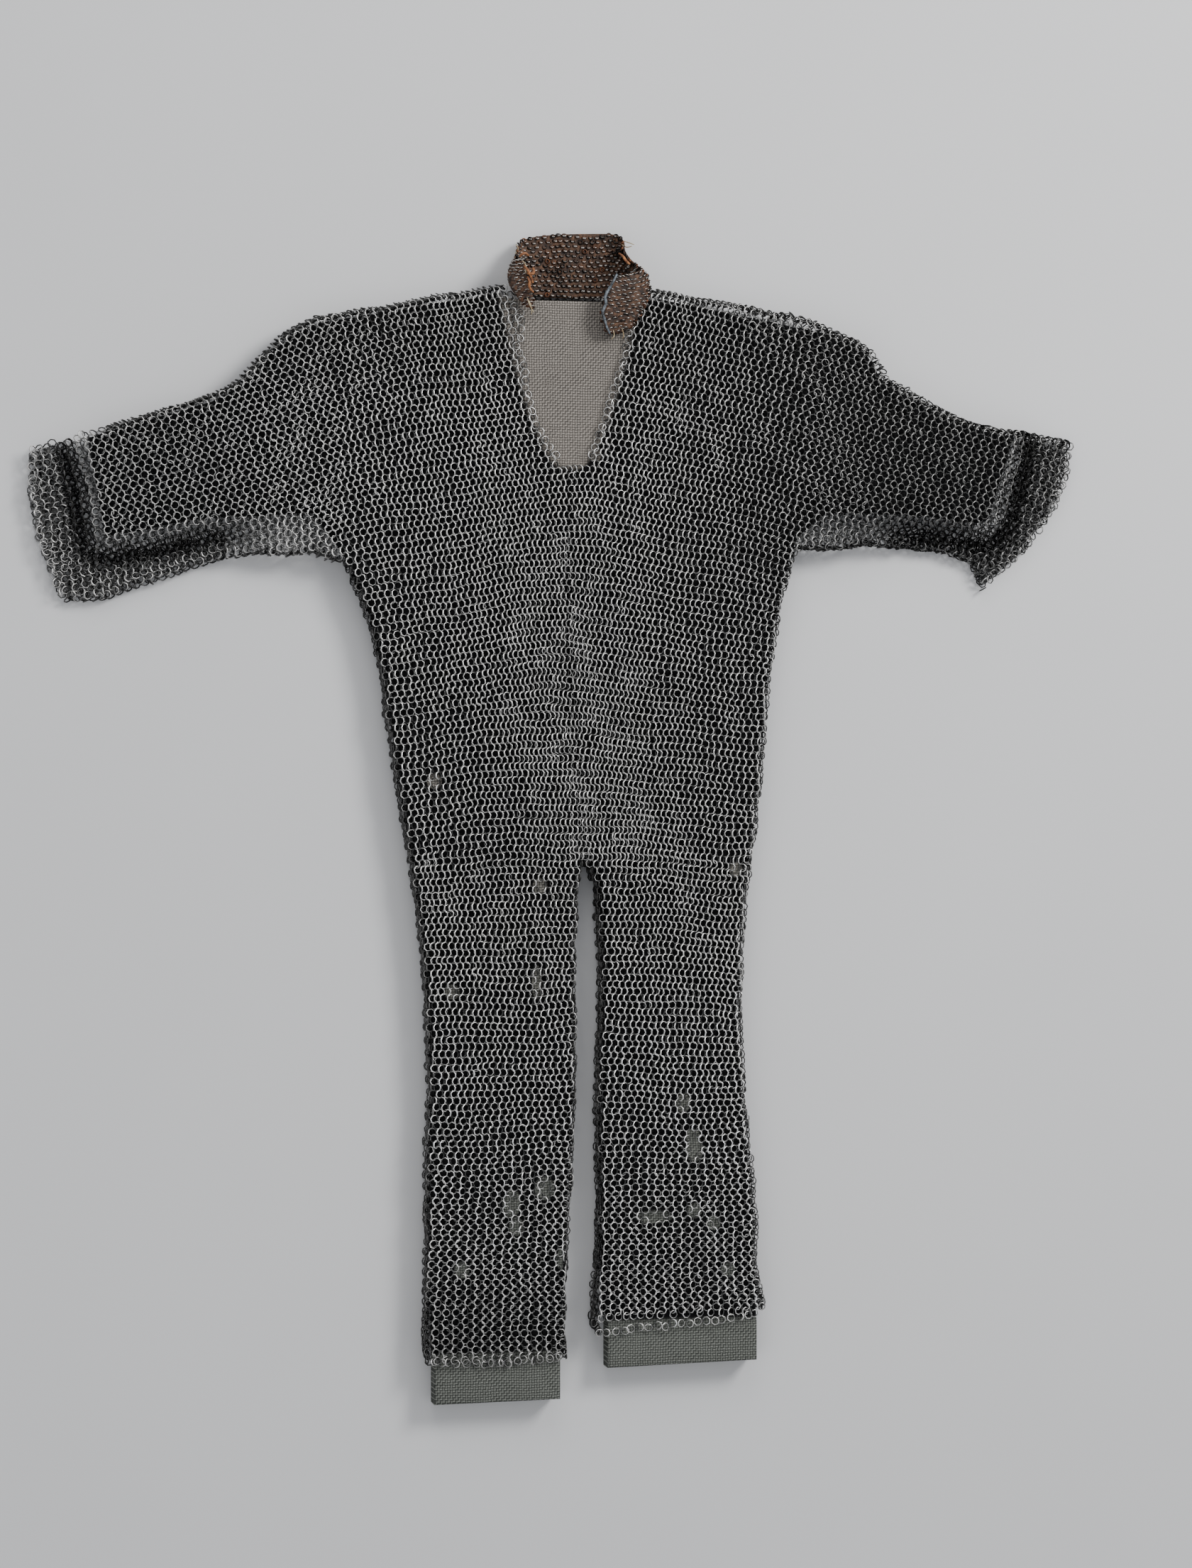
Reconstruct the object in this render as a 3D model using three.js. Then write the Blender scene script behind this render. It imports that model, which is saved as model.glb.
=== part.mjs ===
// Mail suit laid flat on its linen-covered display board.
//
// A shirt with short wide sleeves, a V neck and a standing collar, woven in one
// with a pair of long trouser legs. It is pulled over a flat padded board cut to
// the same outline, which shows in the neck and below both leg hems.
//
// Millimetres. +Y runs from the leg ends to the collar, +Z is up from the surface
// the suit lies on. The origin is the middle of the footprint, at its underside.
// Left and right are the wearer's, so the right sleeve points along -X.

import * as THREE from 'three';

// ---------------------------------------------------------------- driving sizes

const MAIL = 3;                // one layer of linked rings
const COLLAR = 4;              // the collar, woven denser and laced
const SEAM = 0.4;              // gap kept between neighbouring pieces
const BOARD = 29;              // thickness of the padded board
const BOARD_BASE = MAIL + SEAM;                    // the board lies on the back layer
const BOARD_TOP = BOARD_BASE + BOARD;
const FACE = BOARD_TOP + 0.8 + MAIL;               // outside of the front layer
const SAG = 15;                // the same where no board lifts it
const CLEAR = 5;               // board edge to the outside of the mail round it
const BOARD_ROUND = 3;         // rounding of the padded edge

const ARMPIT_RIGHT = { x: -258, y: 281 };
const ARMPIT_LEFT = { x: 268, y: 303 };
const CROTCH = { x: 16, y: -51 };

// How the mail turns over an edge: distance in from the edge, and height as a
// share of the height of the face there.
const TURN = [
  { inset: 0, height: 0.3 },
  { inset: 0.4, height: 0.78 },
  { inset: 2.2, height: 0.94 },
  { inset: 7, height: 1 },
];

// Where the mail lifts off the board in broad soft swells.
const SWELLS = [
  { x: -150, y: 470, across: 70, along: 55, rise: 1.8 },
  { x: 165, y: 470, across: 60, along: 60, rise: 2.0 },
  { x: -120, y: 330, across: 60, along: 45, rise: 1.6 },
  { x: 130, y: 300, across: 75, along: 50, rise: 2.2 },
  { x: -40, y: 170, across: 90, along: 55, rise: 2.0 },
  { x: 90, y: 90, across: 60, along: 70, rise: 1.5 },
  { x: -80, y: 10, across: 70, along: 45, rise: 1.8 },
  { x: 120, y: -60, across: 55, along: 50, rise: 2.0 },
  { x: -85, y: -200, across: 45, along: 70, rise: 1.6 },
  { x: 125, y: -260, across: 50, along: 80, rise: 1.9 },
  { x: -80, y: -430, across: 50, along: 70, rise: 2.2 },
  { x: 130, y: -470, across: 55, along: 60, rise: 2.1 },
  { x: -420, y: 390, across: 60, along: 35, rise: 1.6 },
  { x: 300, y: 440, across: 22, along: 80, rise: 2.4 },
  { x: 368, y: 410, across: 20, along: 60, rise: 2.6 },
  { x: 430, y: 400, across: 35, along: 40, rise: 1.6 },
];

// ------------------------------------------------------------------- outlines

// One half of the shirt front, from the shoulder down to the crotch. Each row
// runs from the side (shoulder end, armhole, side) to the middle (neck, V, seam).
const FRONT_RIGHT = [
  { part: 'shoulder', side: -258, sideY: 557, mid: -77, midY: 593 },
  { part: 'yoke', side: -258, sideY: 520, mid: -55, midY: 562 },
  { part: 'yoke', side: -258, sideY: 480, mid: -55, midY: 522 },
  { part: 'yoke', side: -258, sideY: 440, mid: -51, midY: 484 },
  { part: 'yoke', side: -258, sideY: 402, mid: -39, midY: 438 },
  { part: 'yoke', side: -258, sideY: 362, mid: -14, midY: 400 },
  { part: 'yoke', side: -258, sideY: 322, mid: 1, midY: 360 },
  { part: 'armpit', side: -258, sideY: 286, mid: -2, midY: 305 },
  { part: 'body', side: -250, sideY: 278, mid: -3, midY: 290 },
  { part: 'body', side: -233, sideY: 238, mid: -3, midY: 245 },
  { part: 'body', side: -219, sideY: 190, mid: -3, midY: 192 },
  { part: 'body', side: -209, sideY: 140, mid: -1, midY: 140 },
  { part: 'body', side: -201, sideY: 90, mid: 2, midY: 90 },
  { part: 'body', side: -194, sideY: 40, mid: 6, midY: 40 },
  { part: 'body', side: -187, sideY: -5, mid: 10, midY: -5 },
  { part: 'crotch', side: -180, sideY: -51, mid: 16, midY: -51 },
];

const FRONT_LEFT = [
  { part: 'shoulder', side: 268, sideY: 567, mid: 97, midY: 592 },
  { part: 'yoke', side: 268, sideY: 530, mid: 66, midY: 558 },
  { part: 'yoke', side: 268, sideY: 490, mid: 62, midY: 516 },
  { part: 'yoke', side: 268, sideY: 450, mid: 48, midY: 478 },
  { part: 'yoke', side: 268, sideY: 412, mid: 31, midY: 432 },
  { part: 'yoke', side: 268, sideY: 375, mid: 17, midY: 397 },
  { part: 'yoke', side: 268, sideY: 340, mid: 1, midY: 360 },
  { part: 'armpit', side: 268, sideY: 308, mid: -2, midY: 305 },
  { part: 'body', side: 262, sideY: 296, mid: -3, midY: 290 },
  { part: 'body', side: 249, sideY: 252, mid: -3, midY: 245 },
  { part: 'body', side: 238, sideY: 196, mid: -3, midY: 192 },
  { part: 'body', side: 231, sideY: 140, mid: -1, midY: 140 },
  { part: 'body', side: 226, sideY: 90, mid: 2, midY: 90 },
  { part: 'body', side: 221, sideY: 40, mid: 6, midY: 40 },
  { part: 'body', side: 216, sideY: -5, mid: 10, midY: -5 },
  { part: 'crotch', side: 210, sideY: -51, mid: 16, midY: -51 },
];

// Legs, from the crotch to the hem. Outer and inner edge at the surface, how far
// the wall leans in on its way up, and how far the row bows down in its middle.
const LEG_RIGHT = [
  { y: -51, west: -180, east: 16, lean: 0, bow: 0 },
  { y: -62, west: -178, east: 13, lean: 0, bow: 0 },
  { y: -100, west: -172, east: 10, lean: 0, bow: 0 },
  { y: -150, west: -166, east: 7, lean: 0, bow: 0 },
  { y: -230, west: -161, east: 7, lean: 0, bow: 0 },
  { y: -317, west: -158, east: 6, lean: 0, bow: 0 },
  { y: -400, west: -162, east: 3, lean: 1, bow: 0 },
  { y: -490, west: -162, east: -2, lean: 2, bow: 2 },
  { y: -560, west: -162, east: -4, lean: 2, bow: 3 },
  { y: -594, west: -167, east: -3, lean: 4, bow: 3 },
  { y: -614, west: -163, east: -3, lean: 3, bow: 5 },
];

const LEG_LEFT = [
  { y: -51, west: 16, east: 210, lean: 0, bow: 0 },
  { y: -56, west: 22, east: 209, lean: 0, bow: 0 },
  { y: -66, west: 29, east: 207, lean: 0, bow: 0 },
  { y: -100, west: 33, east: 203, lean: 2, bow: 0 },
  { y: -150, west: 36, east: 200, lean: 3, bow: 0 },
  { y: -230, west: 34, east: 198, lean: 5, bow: 0 },
  { y: -317, west: 31, east: 203, lean: 7, bow: 0 },
  { y: -400, west: 31, east: 211, lean: 7, bow: 0 },
  { y: -465, west: 30, east: 217, lean: 8, bow: 0 },
  { y: -515, west: 26, east: 217, lean: 10, bow: 0 },
  { y: -548, west: 24, east: 222, lean: 12, bow: 0 },
  { y: -566, west: 19, east: 225, lean: 17, bow: 2 },
  { y: -582, west: 32, east: 225, lean: 6, bow: 4 },
];
const LEG_LEFT_HEM_SLOPE = 0.075;    // the hem climbs towards the outer side

// Sleeves, from the armhole to the cuff. Each station crosses from the top edge
// to the lower edge. `fold` is how far down it the board's arm reaches, `face`
// and `hang` are the heights above and below that fold, and `bow` pushes its
// middle out towards the hand.
const SLEEVE_RIGHT = [
  { topX: -258, topY: 557, lowX: -258, lowY: 281, fold: 236, face: FACE, hang: FACE, bow: 0 },
  { topX: -285, topY: 551, lowX: -286, lowY: 290, fold: 220, face: FACE, hang: FACE, bow: 0 },
  { topX: -315, topY: 538, lowX: -318, lowY: 288, fold: 208, face: FACE, hang: 34, bow: 0 },
  { topX: -341, topY: 514, lowX: -345, lowY: 290, fold: 187, face: FACE, hang: 27, bow: 0 },
  { topX: -370, topY: 481, lowX: -374, lowY: 286, fold: 155, face: FACE, hang: 20, bow: 0 },
  { topX: -404, topY: 461, lowX: -404, lowY: 279, fold: 137, face: FACE, hang: SAG, bow: 0 },
  { topX: -444, topY: 449, lowX: -440, lowY: 265, fold: 131, face: FACE, hang: SAG, bow: 0 },
  { topX: -486, topY: 436, lowX: -468, lowY: 255, fold: 127, face: FACE, hang: SAG, bow: 0 },
  { topX: -518, topY: 426, lowX: -492, lowY: 248, fold: 122, face: FACE, hang: SAG, bow: 0 },
  { topX: -542, topY: 419, lowX: -508, lowY: 241, fold: 118, face: FACE, hang: SAG, bow: 0 },
  { topX: -558, topY: 414, lowX: -526, lowY: 236, fold: 118, face: SAG, hang: SAG, bow: 1 },
  { topX: -577, topY: 409, lowX: -545, lowY: 235, fold: 116, face: SAG, hang: 12, bow: 5 },
  { topX: -600, topY: 402, lowX: -564, lowY: 236, fold: 112, face: 13, hang: 12, bow: 13 },
];

const SLEEVE_LEFT = [
  { topX: 268, topY: 567, lowX: 268, lowY: 303, fold: 226, face: FACE, hang: FACE, bow: 0 },
  { topX: 300, topY: 554, lowX: 300, lowY: 302, fold: 214, face: FACE, hang: 35, bow: 0 },
  { topX: 334, topY: 541, lowX: 333, lowY: 306, fold: 200, face: FACE, hang: 31, bow: 0 },
  { topX: 350, topY: 531, lowX: 352, lowY: 309, fold: 190, face: FACE, hang: 28, bow: 0 },
  { topX: 369, topY: 500, lowX: 370, lowY: 307, fold: 160, face: FACE, hang: 23, bow: 0 },
  { topX: 402, topY: 482, lowX: 400, lowY: 304, fold: 142, face: FACE, hang: SAG, bow: 0 },
  { topX: 440, topY: 461, lowX: 438, lowY: 301, fold: 124, face: FACE, hang: SAG, bow: 0 },
  { topX: 480, topY: 448, lowX: 463, lowY: 294, fold: 116, face: FACE, hang: SAG, bow: 0 },
  { topX: 505, topY: 443, lowX: 474, lowY: 290, fold: 114, face: FACE, hang: SAG, bow: 2 },
  { topX: 528, topY: 442, lowX: 480, lowY: 284, fold: 114, face: FACE, hang: SAG, bow: 5 },
  { topX: 545, topY: 441, lowX: 483, lowY: 276, fold: 116, face: SAG, hang: SAG, bow: 10 },
  { topX: 572, topY: 438, lowX: 487, lowY: 268, fold: 122, face: SAG, hang: 12, bow: 20 },
  { topX: 600, topY: 434, lowX: 492, lowY: 260, fold: 128, face: 12, hang: 12, bow: 28 },
];

// The collar, from its end edge on the right shoulder round the back of the neck
// to the end edge that falls open over the left one. Lower edge, middle and
// upper edge of the face that shows. It rolls over at each end, so the end edges
// lie above the part that comes up from behind.
const COLLAR_STEPS = [
  { low: [-46, 566, 46], middle: [-46, 594, 50], top: [-57, 621, 50] },
  { low: [-50, 567, 45.5], middle: [-54, 594, 50], top: [-61, 620, 49.5] },
  { low: [-57, 571, 44], middle: [-67, 595, 48], top: [-66, 619, 47] },
  { low: [-62, 577, 40], middle: [-74, 598, 41], top: [-67, 619, 41] },
  { low: [-60, 583, 32], middle: [-69, 605, 32], top: [-62, 629, 32] },
  { low: [-54, 585, 22], middle: [-60, 611, 22], top: [-58, 639, 22] },
  { low: [-47, 584, 13], middle: [-51, 615, 13], top: [-52, 645, 13] },
  { low: [-37, 583, 9], middle: [-40, 617, 9.5], top: [-42, 650, 10] },
  { low: [-16, 582, 8.6], middle: [-17, 619, 8.8], top: [-17, 654, 9] },
  { low: [8, 582, 8.6], middle: [10, 620, 8.8], top: [12, 656, 9] },
  { low: [34, 583, 9], middle: [37, 620, 9.5], top: [40, 657, 10] },
  { low: [46, 585, 13], middle: [50, 620, 13], top: [55, 656, 13] },
  { low: [53, 586, 21], middle: [60, 616, 21], top: [65, 649, 21] },
  { low: [58, 587, 30], middle: [67, 611, 30], top: [65, 638, 30] },
  { low: [66, 583, 39], middle: [78, 604, 38], top: [68, 627, 38] },
  { low: [77, 567, 44], middle: [90, 592, 44], top: [78, 617, 44] },
  { low: [73, 553, 46.5], middle: [86, 583, 49.5], top: [76, 612, 49] },
  { low: [64, 545, 47], middle: [69, 577, 51.5], top: [66, 608, 51.5] },
  { low: [52, 540, 47.5], middle: [49, 573, 51.5], top: [56, 605, 51.5] },
  { low: [41, 539, 48], middle: [33, 568, 51], top: [48, 603, 51] },
];

// Ends of the board's legs, below the hems.
const BOARD_LEG_RIGHT = { west: -153.5, east: -10.5, westY: -657, eastY: -655 };
const BOARD_LEG_LEFT = { west: 44, east: 217, westY: -622, eastY: -618 };

// ------------------------------------------------------------------ functions

const mix = (a, b, t) => a + (b - a) * t;

const spread = (count) => Array.from({ length: count + 1 }, (_, i) => i / count);

/** Height of the soft swells over the board at one place. */
function swell(x, y) {
  let rise = 0;
  for (const s of SWELLS) {
    const u = (x - s.x) / s.across;
    const v = (y - s.y) / s.along;
    rise += s.rise * Math.exp(-(u * u + v * v));
  }
  return rise;
}

/** Unit normals of a grid of points; `round` means each row closes on itself. */
function gridNormals(grid, round) {
  const rows = grid.length;
  const cols = grid[0].length;
  const normals = [];
  for (let j = 0; j < rows; j += 1) {
    const line = [];
    for (let i = 0; i < cols; i += 1) {
      const next = round ? (i + 1) % cols : Math.min(i + 1, cols - 1);
      const last = round ? (i + cols - 1) % cols : Math.max(i - 1, 0);
      const across = grid[j][next].clone().sub(grid[j][last]);
      const along = grid[Math.min(j + 1, rows - 1)][i].clone().sub(grid[Math.max(j - 1, 0)][i]);
      line.push(across.cross(along).normalize());
    }
    normals.push(line);
  }
  let top = [0, 0];
  grid.forEach((line, j) => line.forEach((p, i) => {
    if (p.z > grid[top[0]][top[1]].z) {
      top = [j, i];
    }
  }));
  if (normals[top[0]][top[1]].z < 0) {
    normals.forEach((line) => line.forEach((n) => n.negate()));
  }
  return normals;
}

/**
 * Takes out the part of a border normal that would lean over the seam. The seam
 * is crossed along the named axis, or else along the one the wall runs out on.
 */
function squareToSeam(normal, from, to, axis) {
  const out = to.clone().sub(from);
  const size = { x: Math.abs(out.x), y: Math.abs(out.y), z: Math.abs(out.z) };
  const main = ['x', 'y', 'z'].reduce((m, k) => (size[k] > size[m] ? k : m));
  normal[axis || main] = 0;
  normal.normalize();
}

/**
 * A wall of cloth: the grid is its outside, and the inside lies one thickness
 * under it. A tube's rows close on themselves and it names the axis that its
 * ends are cut across. Returns one closed body.
 */
function wall(grid, thickness, tubeAxis) {
  const round = Boolean(tubeAxis);
  const rows = grid.length;
  const cols = grid[0].length;
  const normals = gridNormals(grid, round);
  for (let i = 0; i < cols; i += 1) {
    squareToSeam(normals[0][i], grid[1][i], grid[0][i], tubeAxis);
    squareToSeam(normals[rows - 1][i], grid[rows - 2][i], grid[rows - 1][i], tubeAxis);
  }
  if (!round) {
    for (let j = 0; j < rows; j += 1) {
      squareToSeam(normals[j][0], grid[j][1], grid[j][0]);
      squareToSeam(normals[j][cols - 1], grid[j][cols - 2], grid[j][cols - 1]);
    }
  }
  const points = [];
  grid.forEach((line) => line.forEach((p) => points.push(p)));
  grid.forEach((line, j) => line.forEach((p, i) => {
    points.push(p.clone().addScaledVector(normals[j][i], -thickness));
  }));
  const under = rows * cols;
  const at = (j, i) => j * cols + (i % cols);
  const faces = [];
  const quad = (a, b, c, d) => faces.push(a, b, c, a, c, d);
  const spans = round ? cols : cols - 1;
  for (let j = 0; j < rows - 1; j += 1) {
    for (let i = 0; i < spans; i += 1) {
      quad(at(j, i), at(j, i + 1), at(j + 1, i + 1), at(j + 1, i));
      quad(under + at(j, i), under + at(j + 1, i), under + at(j + 1, i + 1), under + at(j, i + 1));
    }
  }
  for (let i = 0; i < spans; i += 1) {
    quad(at(0, i + 1), at(0, i), under + at(0, i), under + at(0, i + 1));
    const j = rows - 1;
    quad(at(j, i), at(j, i + 1), under + at(j, i + 1), under + at(j, i));
  }
  if (!round) {
    for (let j = 0; j < rows - 1; j += 1) {
      quad(at(j, 0), at(j + 1, 0), under + at(j + 1, 0), under + at(j, 0));
      const i = cols - 1;
      quad(at(j + 1, i), at(j, i), under + at(j, i), under + at(j + 1, i));
    }
  }
  return closedBody(points, faces);
}

/** A geometry from points and triangles, turned so that its faces look out. */
function closedBody(points, faces) {
  let volume = 0;
  for (let f = 0; f < faces.length; f += 3) {
    const [a, b, c] = [points[faces[f]], points[faces[f + 1]], points[faces[f + 2]]];
    volume += a.dot(b.clone().cross(c));
  }
  if (volume < 0) {
    for (let f = 0; f < faces.length; f += 3) {
      [faces[f + 1], faces[f + 2]] = [faces[f + 2], faces[f + 1]];
    }
  }
  const geometry = new THREE.BufferGeometry();
  geometry.setAttribute('position', new THREE.Float32BufferAttribute(points.flatMap((p) => [p.x, p.y, p.z]), 3));
  geometry.setIndex(faces);
  geometry.computeVertexNormals();
  return geometry;
}

/** Point `inset` millimetres in from a towards b, in plan. */
function inFrom(a, b, inset) {
  const length = Math.hypot(b.x - a.x, b.y - a.y);
  const t = inset / length;
  return { x: mix(a.x, b.x, t), y: mix(a.y, b.y, t) };
}

/**
 * One row of a shirt half, from its side edge to its middle edge. Below the
 * armpit the side turns down over the board's edge; beside the armhole it runs
 * level up to the sleeve.
 */
function frontRow(row, columns, sign) {
  const side = { x: row.side, y: row.sideY };
  const mid = { x: row.mid - sign * SEAM / 2, y: row.midY };
  const turned = row.part === 'body' || row.part === 'crotch';
  if (!turned) {
    side.x += sign * SEAM / 2;
  }
  const line = [];
  TURN.forEach((t, k) => {
    const p = inFrom(side, mid, turned ? t.inset : k * 2.6);
    const height = k === 0 ? BOARD_BASE + 0.2 : FACE * t.height;
    line.push(new THREE.Vector3(p.x, p.y, turned ? height : FACE + swell(p.x, p.y)));
  });
  const start = inFrom(side, mid, TURN[3].inset + (turned ? 0 : 0.8));
  for (const t of spread(columns).slice(1)) {
    const x = mix(start.x, mid.x, t);
    const y = mix(start.y, mid.y, t);
    line.push(new THREE.Vector3(x, y, FACE + swell(x, y)));
  }
  return line;
}

/** One half of the shirt front, its shoulder turned down over the board's edge. */
function shirtFront(rows, columns, sign) {
  const grid = [];
  const first = frontRow(rows[0], columns, sign);
  const second = frontRow(rows[1], columns, sign);
  TURN.forEach((t, k) => {
    grid.push(first.map((p, i) => {
      const down = second[i];
      const q = inFrom(p, down, t.inset);
      const z = k === 0 ? BOARD_BASE + 0.2 : mix(0, p.z, t.height);
      return new THREE.Vector3(q.x, q.y, z);
    }));
  });
  rows.slice(1).forEach((row) => grid.push(frontRow(row, columns, sign)));
  const last = grid[grid.length - 1];
  last.forEach((p) => {
    p.y += SEAM / 2;
  });
  return wall(grid, MAIL);
}

/** The closed line round one station of a leg or sleeve, from edge a to edge b. */
function tubeLine(a, b, stops, lean) {
  const line = [];
  const length = Math.hypot(b.x - a.x, b.y - a.y);
  const first = stops[0].z;
  const last = stops[stops.length - 1].z;
  const place = (distance, z, bow) => {
    const t = distance / length;
    line.push(new THREE.Vector3(mix(a.x, b.x, t) + bow.x, mix(a.y, b.y, t) + bow.y, z));
  };
  const none = { x: 0, y: 0 };
  TURN.forEach((t, k) => {
    if (k < 3) {
      place(t.inset + lean.a * t.height, first * t.height, none);
    }
  });
  stops.forEach((s) => place(s.at, s.z, s.bow));
  [...TURN].reverse().forEach((t, k) => {
    if (k > 0) {
      place(length - t.inset - lean.b * t.height, last * t.height, none);
    }
  });
  const back = [3, 0.25 * length, 0.5 * length, 0.75 * length, length - 3].reverse();
  const bowAt = (distance) => {
    const nearest = stops.reduce((m, s) => (Math.abs(s.at - distance) < Math.abs(m.at - distance) ? s : m));
    const nearEnd = distance < 4 || distance > length - 4;
    return nearEnd ? none : nearest.bow;
  };
  back.forEach((distance) => place(distance, 0, bowAt(distance)));
  return line;
}

/** A trouser leg: a flattened tube over the board's leg, open at its hem. */
function leg(table, columns, slope) {
  const grid = table.map((row, j) => {
    const share = j / (table.length - 1);
    const gap = j === 0 ? SEAM / 2 : 0;
    const climb = slope * Math.max(0, share - 0.75) * 4 * (row.east - row.west);
    const west = { x: row.west + (j === 0 && slope > 0 ? SEAM / 2 : 0), y: row.y - gap };
    const east = { x: row.east - (j === 0 && slope === 0 ? SEAM / 2 : 0), y: row.y - gap + climb };
    const length = row.east - row.west;
    const from = TURN[3].inset + row.lean;
    const to = length - TURN[3].inset;
    const stops = spread(columns).map((t) => {
      const at = mix(from, to, t);
      const x = mix(west.x, east.x, at / length);
      const y = mix(west.y, east.y, at / length);
      const bow = { x: 0, y: -row.bow * 4 * t * (1 - t) };
      return { at, z: FACE + swell(x, y), bow };
    });
    return tubeLine(west, east, stops, { a: row.lean, b: 0 });
  });
  return wall(grid, MAIL, 'y');
}

/** A sleeve: over the board's arm at first, then two layers lying together. */
function sleeve(table, columns, sign) {
  const grid = table.map((row, j) => {
    const gap = j === 0 ? sign * SEAM / 2 : 0;
    const top = { x: row.topX + gap, y: row.topY };
    const low = { x: row.lowX + gap, y: row.lowY };
    const length = Math.hypot(low.x - top.x, low.y - top.y);
    const reach = Math.min(length - TURN[3].inset, row.fold + 17);
    const places = spread(columns).map((t) => mix(TURN[3].inset, row.fold, t));
    places.push(reach);
    if (length - TURN[3].inset > reach + 2) {
      places.push(mix(reach, length - TURN[3].inset, 0.5), length - TURN[3].inset);
    } else {
      places.push(reach + 0.8, reach + 1.6);
    }
    const stops = places.map((at, k) => {
      const t = at / length;
      const x = mix(top.x, low.x, t);
      const y = mix(top.y, low.y, t);
      const z = k <= columns ? row.face : row.hang;
      const raised = z > FACE - 3 ? swell(x, y) : 0;
      return { at, z: z + raised, bow: { x: sign * row.bow * 4 * t * (1 - t), y: 0 } };
    });
    return tubeLine(top, low, stops, { a: 0, b: 0 });
  });
  return wall(grid, MAIL, 'x');
}

/** A flat plate from an outline, rounded along its edges when asked. */
function plate(outline, base, thickness, rounding) {
  const shape = new THREE.Shape(outline.map((p) => new THREE.Vector2(p.x, p.y)));
  const geometry = new THREE.ExtrudeGeometry(shape, {
    depth: thickness - 2 * rounding,
    bevelEnabled: rounding > 0,
    bevelThickness: rounding,
    bevelSize: rounding,
    bevelOffset: -rounding,
    bevelSegments: 2,
    steps: 1,
  });
  geometry.translate(0, 0, base + rounding);
  return geometry;
}

/** The back of the shirt: one flat layer under the board. */
function shirtBack() {
  const east = FRONT_LEFT.map((r) => ({ x: r.side, y: r.sideY }));
  const west = [...FRONT_RIGHT].reverse().map((r) => ({ x: r.side, y: r.sideY }));
  east.slice(0, 8).forEach((p) => {
    p.x -= SEAM / 2;
  });
  west.slice(-8).forEach((p) => {
    p.x += SEAM / 2;
  });
  east[east.length - 1].y += SEAM / 2;
  west[0].y += SEAM / 2;
  const neck = [{ x: -77, y: 593 }, { x: -40, y: 587 }, { x: 48, y: 587 }, { x: 97, y: 592 }];
  return plate([...neck, ...east, ...west].reverse(), 0, MAIL, 0);
}

/** The collar, a strip that bends over its middle, between its lower and upper edge. */
function collar() {
  const rail = (edge) => new THREE.CatmullRomCurve3(
    COLLAR_STEPS.map((s) => new THREE.Vector3(...s[edge])),
    false,
    'centripetal',
  );
  const [low, middle, top] = ['low', 'middle', 'top'].map(rail);
  const steps = 2 * (COLLAR_STEPS.length - 1);
  const grid = spread(steps).map((along) => {
    const points = [low, middle, top].map((curve) => curve.getPoint(along));
    return spread(6).map((t) => points[0].clone()
      .multiplyScalar((1 - t) * (1 - 2 * t))
      .addScaledVector(points[1], 4 * t * (1 - t))
      .addScaledVector(points[2], t * (2 * t - 1)));
  });
  return wall(grid, COLLAR);
}

/** An open line moved sideways by a distance, to the side given by its sign. */
function moveOver(line, distance) {
  return line.map((p, i) => {
    const before = line[Math.max(i - 1, 0)];
    const after = line[Math.min(i + 1, line.length - 1)];
    const length = Math.hypot(after.x - before.x, after.y - before.y);
    return {
      x: p.x + distance * (after.y - before.y) / length,
      y: p.y - distance * (after.x - before.x) / length,
    };
  });
}

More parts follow.
